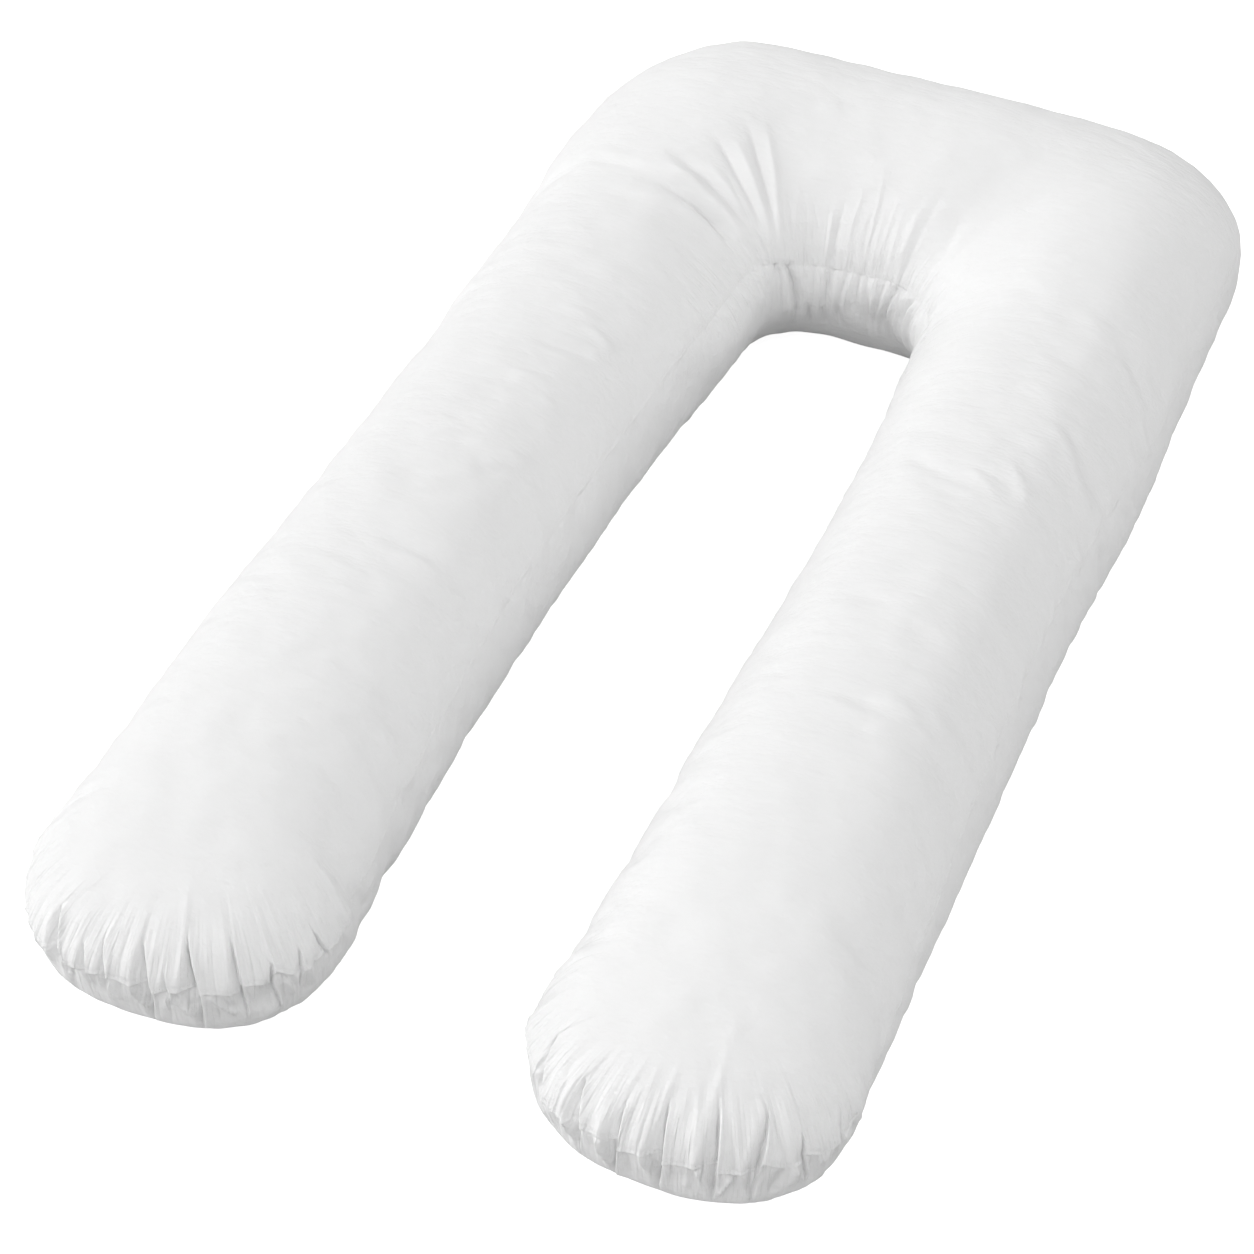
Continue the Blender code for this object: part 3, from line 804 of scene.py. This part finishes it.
# Soft folds on the top panel, by points in plan in millimetres, counted from the leg tips
topFolds = (
    (((-297, 1089), (-268, 1082), (-240, 1079), (-206, 1074)), -5.4, 4.8),
    (((-297, 1096), (-268, 1090), (-236, 1086)), 3.6, 4.8),
    (((-259, 1096), (-242, 1100), (-223, 1103)), -2.2, 4.8),
    (((-214, 780), (-175, 788), (-148, 791)), -4.9, 4.8),
    (((-205, 792), (-172, 800), (-146, 800)), 3.2, 4.8),
    (((-186, 823), (-169, 823), (-151, 815), (-134, 806)), 4.1, 4.8),
    (((-212, 843), (-187, 839), (-166, 836)), 2.7, 5.6),
    (((-218, 733), (-191, 743), (-168, 745)), -2.7, 4.8),
    (((-219, 724), (-191, 730), (-165, 730)), 2.2, 4.8),
    (((-250, 706), (-219, 716), (-190, 718)), -2.1, 4.8),
    (((-154, 758), (-146, 756), (-137, 754)), -2.1, 4.0),
    (((-192, 711), (-168, 712), (-149, 704)), 2.2, 4.8),
    (((-241, 671), (-221, 683), (-193, 689)), -2.2, 4.8),
    (((-241, 638), (-219, 656), (-195, 660)), -1.8, 4.8),
    (((-176, 673), (-165, 674), (-150, 678)), -2.2, 4.0),
    (((-252, 594), (-235, 612), (-214, 616), (-198, 622)), -3.2, 4.0),
    (((-250, 604), (-232, 621), (-208, 627)), 2.2, 4.0),
    (((-175, 627), (-157, 630), (-139, 635)), 2.7, 4.0),
    (((-189, 600), (-170, 599), (-152, 610)), -4.1, 3.2),
    (((-186, 608), (-164, 606), (-150, 615)), 4.1, 3.2),
    (((-115, 722), (-111, 718), (-106, 713)), -1.8, 4.0),
    (((-140, 617), (-132, 612), (-125, 607)), 2.2, 3.2),
    (((-250, 548), (-226, 564), (-200, 571)), -2.1, 4.8),
    (((-242, 523), (-213, 534), (-183, 554)), -2.2, 4.8),
    (((-240, 495), (-211, 512), (-185, 520)), 1.8, 4.8),
    (((-229, 466), (-193, 474), (-172, 471)), -1.8, 4.8),
    (((-195, 460), (-178, 461), (-152, 460)), 2.7, 2.8),
    (((-219, 358), (-200, 363), (-180, 367)), -1.8, 5.6),
    (((-233, 309), (-193, 324), (-150, 314)), -2.2, 6.4),
    (((-205, 216), (-176, 223), (-146, 218)), -2.1, 6.4),
    (((161, 779), (200, 749), (233, 737)), -2.7, 5.6),
    (((212, 715), (232, 720), (251, 724)), -2.1, 5.6),
    (((223, 764), (253, 747), (276, 730)), 2.7, 5.6),
    (((258, 793), (282, 762), (303, 738)), 3.2, 5.6),
    (((191, 439), (236, 439), (274, 433)), -2.2, 5.6),
    (((248, 406), (260, 409), (273, 412)), -1.8, 4.8),
    (((199, 564), (218, 562), (238, 560)), -1.8, 5.6),
    (((280, 858), (315, 827), (349, 772)), 2.7, 8.8),
)


def smoothPath(points, count=60):
    # points on a curve that runs smoothly through the given ones
    points = np.array(points, dtype=float)
    places = np.linspace(0.0, len(points) - 1.0, count)
    if len(points) < 3:
        return np.column_stack([np.interp(places, range(len(points)), column) for column in points.T])
    slopes = np.gradient(points, axis=0)
    k = np.minimum(places.astype(int), len(points) - 2)
    t = (places - k)[:, None]
    start, end = points[k], points[k + 1]
    curve = start * (2 * t ** 3 - 3 * t ** 2 + 1) + end * (3 * t ** 2 - 2 * t ** 3)
    return curve + slopes[k] * (t ** 3 - 2 * t ** 2 + t) + slopes[k + 1] * (t ** 3 - t ** 2)


# How folds fade: the share of the path over which they rise, and from where and how far they sink at its end
fades = {
    "tip": {"in": 0.60, "from": 0.85, "down": 0.35},
    "under": {"in": 0.25, "from": 0.85, "down": 0.35},
    "face": {"in": 0.65, "from": 0.80, "down": 0.4},
    "corner": {"in": 0.30, "from": 0.60, "down": 0.75},
    "plan": {"in": 0.40, "from": 0.60, "down": 1.0},
}

fold = {
    "margin": 3.0,  # how many widths away it ends
    "roundPower": 1.7,
    "sharpPower": 1.2,  # for narrow valleys
    "narrow": 0.0052,
    "ahead": 0.02,  # it has risen by this share of its path where it starts
    "topSide": 0.11,  # folds placed in plan lie higher than this
    "aside": 0.02,  # how far beside their path the skin's height is looked for
}


def foldHeight(skin, path, height, width, fade):
    # a ridge or valley along a path, which fades at its ends as the shares in fade say
    points = skin["smooth"]
    margin = fold["margin"] * width
    chosen = np.all((points > path.min(axis=0) - margin) & (points < path.max(axis=0) + margin), axis=1)
    away = np.linalg.norm(points[chosen][:, None, :] - path[None, :, :], axis=2)
    share = np.argmin(away, axis=1) / (len(path) - 1)
    rising = ease((share + fold["ahead"]) / fade["in"])
    sinking = ease((share - fade["from"]) / (1.0 - fade["from"]))
    power = fold["sharpPower"] if height < 0.0 and width < fold["narrow"] else fold["roundPower"]
    made = np.zeros(len(points))
    made[chosen] = height * rising * (1.0 - fade["down"] * sinking) * hump(away.min(axis=1), width, power)
    return made


def foldsFromSeam(skin, marks, groups, fade):
    total = np.zeros(len(skin["points"]))
    for mark, rows in groups:
        for points, height, width in rows:
            along, arc = smoothPath(points).T / 1000
            path = surfacePoint(skin["surface"], along + marks[mark], arc)
            total += foldHeight(skin, path, height / 1000, width / 1000, fade)
    return total


def planFolds(skin):
    # folds given in plan, on the top of the pillow, each path at the height of the skin under it
    total = np.zeros(len(skin["smooth"]))
    upper = skin["smooth"][skin["smooth"][:, 2] > fold["topSide"]]
    for points, height, width in topFolds:
        plan = smoothPath(np.array(points) / 1000 - np.array(pillow["planMiddle"]))
        low, high = plan.min(axis=0) - fold["aside"], plan.max(axis=0) + fold["aside"]
        near = upper[np.all((upper[:, :2] > low) & (upper[:, :2] < high), axis=1)]
        closest = np.argmin(np.linalg.norm(near[:, None, :2] - plan[None, :, :], axis=2), axis=0)
        path = np.column_stack([plan, near[closest, 2]])
        total += foldHeight(skin, path, height / 1000, width / 1000, fades["plan"])
    return total


# The sewn edge: how far the skin stands out at an arc from the seam. The panels meet at an angle, with a
# fine step between them, a rolled lip above it and the row of stitches pressed into the upper panel.

seamProfile = (
    (-0.040, 0.0), (-0.026, -0.0016), (-0.0160, -0.0014), (-0.0100, -0.0007), (-0.0062, -0.0001),
    (-0.0038, 0.0003), (-0.0020, 0.0005), (-0.0009, 0.0006), (0.0, 0.0013), (0.0009, 0.0020),
    (0.0020, 0.0019), (0.0034, 0.0012), (0.0050, 0.0017), (0.0072, 0.0015), (0.0100, 0.0012),
    (0.0180, 0.0005), (0.030, 0.0),
)

# How far from a tip or the bar the seam is gathered, and how far it stands out along the legs and the bar
gathering = {"reach": 0.17, "fade": 0.12, "legShare": 0.30, "barShare": 0.25}

# The bar's inner face is rounder than its section
faceBulge = {"height": 0.008, "reach": 0.088, "power": 0.8}


def fromGathers(skin, marks):
    # the straight distance from the nearest tip's or the bar's seam
    ends = [surfacePoint(skin["surface"], np.array([marks[mark]]), np.array([0.0]))[0]
            for mark in ("leftTip", "barMiddle", "rightTip")]
    return np.min([np.linalg.norm(skin["points"] - end, axis=1) for end in ends], axis=0)


def gatheredShare(skin, marks, names=("leftTip", "barMiddle", "rightTip")):
    away = np.min([np.abs(skin["along"] - marks[name]) for name in names], axis=0)
    return 1.0 - ease((away - gathering["reach"]) / gathering["fade"])


def seamShape(skin, marks):
    height = np.interp(skin["arc"], *zip(*seamProfile))
    onBar = gatheredShare(skin, marks, ["barMiddle"])
    height *= blend(1.0, gathering["barShare"], onBar)
    down = np.clip(-skin["arc"] / faceBulge["reach"], 0.0, 1.0)
    bulge = faceBulge["height"] * np.sin(math.pi * down ** faceBulge["power"]) * onBar
    return height * blend(gathering["legShare"], 1.0, gatheredShare(skin, marks)) + bulge


# The filling's soft unevenness: how long each kind of lump is in the three directions, how high, and
# where in the noise it starts
lumpRows = (
    ((0.095, 0.095, 0.095), 0.0018, 3.1),
    ((0.034, 0.030, 0.034), 0.0013, 13.1),
    ((0.030, 0.013, 0.020), 0.0010, 5.9),
)


def lumpHeight(skin):
    total = np.zeros(len(skin["points"]))
    for sizes, height, shift in lumpRows:
        places = skin["points"] / sizes + shift
        total += height * np.array([noise.noise(Vector(place)) for place in places])
    return total


def makePillow():
    columns = allColumns(dartRows)
    length, marks = seamLength(columns)
    skin = makeSkin(columns, length, marks, seamLifts(length, marks))
    skin["outward"] = skinNormals(skin)
    inward = np.einsum("ij,ij->", skin["outward"], skin["points"] - skin["points"].mean(axis=0)) < 0.0
    if inward:
        skin["outward"] = -skin["outward"]
    skin["smooth"] = skin["points"].copy()
    pushOut(skin, lumpHeight(skin))
    pushOut(skin, planFolds(skin))
    foldGroups = (
        (seamFolds, "tip"),
        (underFolds, "under"),
        ((("barMiddle", faceFolds),), "face"),
        ((("barMiddle", cornerFolds),), "corner"),
    )
    for groups, fade in foldGroups:
        pushOut(skin, foldsFromSeam(skin, marks, groups, fades[fade]))
    heights, tucks = zip(*(dartShape(skin, marks, row) for row in dartRows))
    pushOut(skin, sum(heights))
    pushAlong(skin, sum(tucks))
    pushOut(skin, sum(gatherHeight(skin, marks, row, k) for k, row in enumerate(gatherRows)))
    pushOut(skin, seamShape(skin, marks))
    skin["gathered"] = gatheredShare(skin, marks)
    skin["fromGathers"] = fromGathers(skin, marks)
    return makeCover(skin, inward), skin


def addMesh(name, points, faces):
    mesh = bpy.data.meshes.new(name)
    mesh.from_pydata(points.tolist(), [], faces)
    mesh.shade_smooth()
    thing = bpy.data.objects.new(name, mesh)
    bpy.context.scene.collection.objects.link(thing)
    return thing


def makeCover(skin, inward):
    faces, corners = [], []
    order = (3, 2, 1, 0) if inward else (0, 1, 2, 3)
    for k, quad in enumerate(skin["quads"].tolist()):
        kept = {quad[corner]: corner for corner in order}  # a face at a pole has fewer corners
        faces.append(list(kept))
        corners.extend((k, corner) for corner in kept.values())
    cover = addMesh("pillow_cover", skin["points"], faces)
    rows, places = np.array(corners).T
    for name, laid in (("panel", "panelMap"), ("seamwise", "seamMap")):
        values = netQuads(skin[laid])[rows, places]
        cover.data.uv_layers.new(name=name).data.foreach_set("uv", values.astype(np.float32).ravel())
    gathered = cover.data.attributes.new("gathered", "FLOAT", "POINT")
    gathered.data.foreach_set("value", skin["gathered"].astype(np.float32))
    return cover


cover, skin = makePillow()
print("pillow made,", len(cover.data.vertices), "points")

# The filling presses against the cotton: a coarse copy is blown up a little as cloth, and the cover takes
# over part of its moves on the plain stretches, away from the gathers

filling = {
    "voxel": 0.0085,
    "frames": 14,
    "pressure": 4.0,
    "extraCloth": 0.02,
    "quality": 3,
    "mass": 0.15,
    "bending": 0.05,
    "most": 0.010,
    "share": 0.85,
    "leastShare": 0.01,
    "neighbours": 6,
    "blur": 0.002,  # keeps the nearest of them from counting alone
    "away": (0.10, 0.22),  # from the tips and the bar's seam, where the moves start and are full
}


def placesOf(thing):
    places = np.empty(len(thing.data.vertices) * 3)
    thing.data.vertices.foreach_get("co", places)
    return places.reshape(-1, 3)


def blowUp(cover):
    # the coarse copy's places before the cloth run, and its moves
    bpy.ops.object.select_all(action="DESELECT")
    copy = bpy.data.objects.new("coarse pillow", cover.data.copy())
    bpy.context.scene.collection.objects.link(copy)
    bpy.context.view_layer.objects.active = copy
    copy.select_set(True)
    remesh = copy.modifiers.new("even net", "REMESH")
    remesh.voxel_size = filling["voxel"]
    bpy.ops.object.modifier_apply(modifier=remesh.name)
    before = placesOf(copy)
    cloth = copy.modifiers.new("filling", "CLOTH")
    cloth.collision_settings.use_collision = False
    cloth.point_cache.frame_end = filling["frames"]
    cloth.settings.quality = filling["quality"]
    cloth.settings.mass = filling["mass"]
    cloth.settings.use_pressure = True
    cloth.settings.uniform_pressure_force = filling["pressure"]
    cloth.settings.shrink_min = -filling["extraCloth"]
    cloth.settings.bending_stiffness = filling["bending"]
    cloth.settings.effector_weights.gravity = 0.0
    for step in range(1, filling["frames"] + 1):
        bpy.context.scene.frame_set(step)
    bpy.ops.object.modifier_apply(modifier=cloth.name)
    moves = placesOf(copy) - before
    bpy.data.objects.remove(copy)
    bpy.context.scene.frame_set(1)
    return before, moves


def fillCover(cover, skin):
    before, moves = blowUp(cover)
    size = np.linalg.norm(moves, axis=1)
    moves *= np.minimum(1.0, filling["most"] / np.maximum(size, tiny))[:, None]
    tree = kdtree.KDTree(len(before))
    for k, place in enumerate(before):
        tree.insert(place, k)
    tree.balance()
    start, full = filling["away"]
    share = filling["share"] * ease((skin["fromGathers"] - start) / (full - start))
    share *= ease(skin["points"][:, 2] / pillow["floorEase"])
    for point in np.flatnonzero(share > filling["leastShare"]):
        near = tree.find_n(skin["points"][point], filling["neighbours"])
        weights = np.array([1.0 / (distance + filling["blur"]) ** 2 for _, _, distance in near])
        move = weights @ moves[[k for _, k, _ in near]] / weights.sum()
        skin["points"][point] += move * share[point]
    cover.data.vertices.foreach_set("co", skin["points"].ravel())
    cover.data.update()
    print("pillow filled, moved up to", round(1000 * float(size.max()), 1), "mm before the cap")


fillCover(cover, skin)

# White cotton: a fine plain weave, small creases along the gathers and a soft sheen

cottonFinish = {
    "colours": ((0.812, 0.812, 0.812, 1.0), (0.838, 0.838, 0.838, 1.0)),
    "roughness": 0.85,
    "sheen": 0.12,
    "threadPitch": 0.0006,
    "weaveHeight": 0.00003,
    "patches": {"Scale": 7.0, "Detail": 3.0},
    "streaks": {"Scale": 1.0, "Detail": 2.0, "Roughness": 0.55},
    "creases": {"Scale": 62.5, "Detail": 3.0, "Roughness": 0.6},  # one in 16 mm
    "creaseStretch": (0.45, 1.0, 1.0),  # longer across the legs than along them
    "creaseHeight": 0.0023,
    "gatherSize": (0.0062, 0.080),
    "gatherReach": 0.085,  # how far from the seam the gathers fade
    "gatherHeight": 0.0040,
}


def addNode(tree, kind, values=None, **settings):
    node = tree.nodes.new(kind)
    for name, value in settings.items():
        setattr(node, name, value)
    for name, value in (values or {}).items():
        node.inputs[name].default_value = value
    return node


def cottonMaterial():
    material = bpy.data.materials.new("white cotton")
    material.use_nodes = True
    tree = material.node_tree
    link = tree.links.new
    shader = tree.nodes["Principled BSDF"]
    shader.inputs["Roughness"].default_value = cottonFinish["roughness"]
    shader.inputs["Sheen Weight"].default_value = cottonFinish["sheen"]
    place = addNode(tree, "ShaderNodeTexCoord")
    panel = addNode(tree, "ShaderNodeUVMap", uv_map="panel")
    seamwise = addNode(tree, "ShaderNodeUVMap", uv_map="seamwise")

    # colour, a little uneven
    patches = addNode(tree, "ShaderNodeTexNoise", cottonFinish["patches"])
    tint = addNode(tree, "ShaderNodeMix", data_type="RGBA")
    tint.inputs[6].default_value, tint.inputs[7].default_value = cottonFinish["colours"]
    link(place.outputs["Object"], patches.inputs["Vector"])
    link(patches.outputs["Fac"], tint.inputs[0])
    link(tint.outputs[2], shader.inputs["Base Color"])

    # gathers: fine creases that run away from the seam and fade with the distance from it
    stretch = addNode(tree, "ShaderNodeVectorMath", operation="DIVIDE")
    stretch.inputs[1].default_value = (*cottonFinish["gatherSize"], 1.0)
    streaks = addNode(tree, "ShaderNodeTexNoise", cottonFinish["streaks"])
    fromSeam = addNode(tree, "ShaderNodeSeparateXYZ")
    distance = addNode(tree, "ShaderNodeMath", operation="ABSOLUTE")
    falling = {"From Max": cottonFinish["gatherReach"], "To Min": 1.0, "To Max": 0.0}
    fade = addNode(tree, "ShaderNodeMapRange", falling, interpolation_type="SMOOTHSTEP")
    atGathers = addNode(tree, "ShaderNodeAttribute", attribute_name="gathered")
    faded = addNode(tree, "ShaderNodeMath", operation="MULTIPLY")
    gathers = addNode(tree, "ShaderNodeMath", operation="MULTIPLY")
    link(seamwise.outputs["UV"], stretch.inputs[0])
    link(stretch.outputs["Vector"], streaks.inputs["Vector"])
    link(seamwise.outputs["UV"], fromSeam.inputs["Vector"])
    link(fromSeam.outputs["Y"], distance.inputs[0])
    link(distance.outputs["Value"], fade.inputs["Value"])
    link(fade.outputs["Result"], faded.inputs[0])
    link(atGathers.outputs["Fac"], faded.inputs[1])
    link(streaks.outputs["Fac"], gathers.inputs[0])
    link(faded.outputs["Value"], gathers.inputs[1])

    # creases all over
    across = addNode(tree, "ShaderNodeVectorMath", operation="MULTIPLY")
    across.inputs[1].default_value = cottonFinish["creaseStretch"]
    creases = addNode(tree, "ShaderNodeTexNoise", cottonFinish["creases"])
    link(place.outputs["Object"], across.inputs[0])
    link(across.outputs["Vector"], creases.inputs["Vector"])

    # the weave's two sets of threads
    weave = addNode(tree, "ShaderNodeMath", operation="MULTIPLY")
    for k, direction in enumerate(("X", "Y")):
        threads = addNode(tree, "ShaderNodeTexWave", bands_direction=direction)
        threads.inputs["Scale"].default_value = math.pi / (10.0 * cottonFinish["threadPitch"])
        link(panel.outputs["UV"], threads.inputs["Vector"])
        link(threads.outputs["Fac"], weave.inputs[k])

    below = None
    heights = (
        (weave.outputs["Value"], cottonFinish["weaveHeight"]),
        (creases.outputs["Fac"], cottonFinish["creaseHeight"]),
        (gathers.outputs["Value"], cottonFinish["gatherHeight"]),
    )
    for height, distance in heights:
        bump = addNode(tree, "ShaderNodeBump", {"Strength": 1.0, "Distance": distance})
        link(height, bump.inputs["Height"])
        if below:
            link(below, bump.inputs["Normal"])
        below = bump.outputs["Normal"]
    link(below, shader.inputs["Normal"])
    return material


cotton = cottonMaterial()
cover.data.materials.append(cotton)

# The row of stitches that closes the seam, pressed into the upper panel

stitch = {
    "pitch": 0.0042,
    "length": 0.0031,
    "thread": 0.00045,
    "sides": 6,
    "endTaper": 0.75,
    "bend": 0.0012,  # it follows the seam over this far on either side
    "lift": 0.0001,
}


def makeStitch():
    bpy.ops.object.select_all(action="DESELECT")
    sides = stitch["sides"]
    bpy.ops.mesh.primitive_cylinder_add(vertices=sides, radius=0.5, depth=1.0, end_fill_type="TRIFAN")
    thread = bpy.context.object
    bpy.ops.object.mode_set(mode="EDIT")
    bpy.ops.mesh.subdivide(number_cuts=1)
    bpy.ops.object.mode_set(mode="OBJECT")
    points = np.array([vertex.co for vertex in thread.data.vertices])
    points[:, :2] *= (1.0 - stitch["endTaper"] * (2.0 * np.abs(points[:, 2:])) ** 3) * stitch["thread"]
    points[:, 2] *= stitch["length"]
    faces = [list(face.vertices) for face in thread.data.polygons]
    bpy.data.objects.remove(thread)
    return points, faces


def valueAt(place, length, values):
    return np.array([np.interp(place, length, axis) for axis in values.T])


def sewSeam(skin):
    line = skin["points"][skin["stitchRow"]]
    out = skin["outward"][skin["stitchRow"]]
    line, out = np.vstack([line, line[:1]]), np.vstack([out, out[:1]])
    length = runLength(line)
    centres = np.arange(0.0, length[-1], stitch["pitch"])
    shape, shapeFaces = makeStitch()
    points, faces = [], []
    for centre in centres:
        middle, up = valueAt(centre, length, line), valueAt(centre, length, out)
        way = valueAt(centre + stitch["bend"], length, line) - valueAt(centre - stitch["bend"], length, line)
        way /= np.linalg.norm(way)
        across = np.cross(up, way)
        across /= np.linalg.norm(across)
        up = np.cross(way, across)
        count = len(points) * len(shape)
        points.append(middle + up * stitch["lift"] + shape @ np.array([across, up, way]))
        faces.extend([[corner + count for corner in face] for face in shapeFaces])
    return addMesh("pillow_stitches", np.vstack(points), faces)


threadFinish = {
    "colour": (0.84, 0.84, 0.84, 1.0),
    "roughness": 0.6,
    "sheen": 0.2,
    "plies": {"Scale": 3000.0, "Detail": 1.0},
    "plyHeight": 0.00008,
}


def threadMaterial():
    material = bpy.data.materials.new("white sewing thread")
    material.use_nodes = True
    tree = material.node_tree
    shader = tree.nodes["Principled BSDF"]
    shader.inputs["Base Color"].default_value = threadFinish["colour"]
    shader.inputs["Roughness"].default_value = threadFinish["roughness"]
    shader.inputs["Sheen Weight"].default_value = threadFinish["sheen"]
    place = addNode(tree, "ShaderNodeTexCoord")
    plies = addNode(tree, "ShaderNodeTexNoise", threadFinish["plies"])
    bump = addNode(tree, "ShaderNodeBump", {"Strength": 1.0, "Distance": threadFinish["plyHeight"]})
    tree.links.new(place.outputs["Object"], plies.inputs["Vector"])
    tree.links.new(plies.outputs["Fac"], bump.inputs["Height"])
    tree.links.new(bump.outputs["Normal"], shader.inputs["Normal"])
    return material


stitches = sewSeam(skin)
stitches.data.materials.append(threadMaterial())
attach(stitches, "root")
print("seam sewn,", len(stitches.data.polygons), "faces")
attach(cover, "root")
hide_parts("pillow")

# Floor and light

studio = {
    "floorSize": 14.0,
    "floorColour": (0.62, 0.62, 0.62, 1.0),
    "floorRoughness": 0.9,
    "floorGlow": 0.90,  # seen by the camera alone, so the pale floor doesn't light the pillow from below
    "glowColour": (1.0, 1.0, 1.0, 1.0),
    "skyColour": (1.0, 1.0, 1.0, 1.0),
    "skyStrength": 0.10,
    "lampAngle": 50.0,
    "lampDistance": 4.0,
}

# Where each soft lamp stands, counted round from the right and up from the floor, and its strength
lampRows = (
    ("key lamp", 180, 25, 2.00),
    ("left front lamp", 225, 30, 0.55),
    ("front lamp", 270, 46, 1.10),
    ("right lamp", 0, 52, 0.77),
    ("back right lamp", 45, 25, 0.95),
)


def addLamp(name, turn, up, strength):
    turn, up = math.radians(turn), math.radians(up)
    away = Vector((math.cos(turn) * math.cos(up), math.sin(turn) * math.cos(up), math.sin(up)))
    bpy.ops.object.light_add(type="SUN", location=studio["lampDistance"] * away)
    lamp = bpy.context.object
    lamp.name = name
    lamp.data.angle = math.radians(studio["lampAngle"])
    lamp.data.energy = strength
    lamp.rotation_mode = "QUATERNION"
    lamp.rotation_quaternion = (-away).to_track_quat("-Z", "Y")


def floorMaterial():
    pale = bpy.data.materials.new("pale floor")
    pale.use_nodes = True
    tree = pale.node_tree
    shader = tree.nodes["Principled BSDF"]
    shader.inputs["Base Color"].default_value = studio["floorColour"]
    shader.inputs["Roughness"].default_value = studio["floorRoughness"]
    shader.inputs["Emission Color"].default_value = studio["glowColour"]
    rays = addNode(tree, "ShaderNodeLightPath")
    glow = addNode(tree, "ShaderNodeMath", operation="MULTIPLY")
    glow.inputs[1].default_value = studio["floorGlow"]
    tree.links.new(rays.outputs["Is Camera Ray"], glow.inputs[0])
    tree.links.new(glow.outputs[0], shader.inputs["Emission Strength"])
    return pale


def addFloor():
    bpy.ops.object.select_all(action="DESELECT")
    bpy.ops.mesh.primitive_plane_add(size=studio["floorSize"], location=(0.0, 0.0, 0.0))
    floor = bpy.context.object
    floor.name = "floor"
    floor.data.materials.append(floorMaterial())


def addSky():
    world = bpy.data.worlds.new("studio")
    bpy.context.scene.world = world
    world.use_nodes = True
    background = world.node_tree.nodes["Background"]
    background.inputs["Color"].default_value = studio["skyColour"]
    background.inputs["Strength"].default_value = studio["skyStrength"]


addFloor()
addSky()
for row in lampRows:
    addLamp(*row)
bpy.context.scene.view_settings.view_transform = "Standard"
print("studio set")
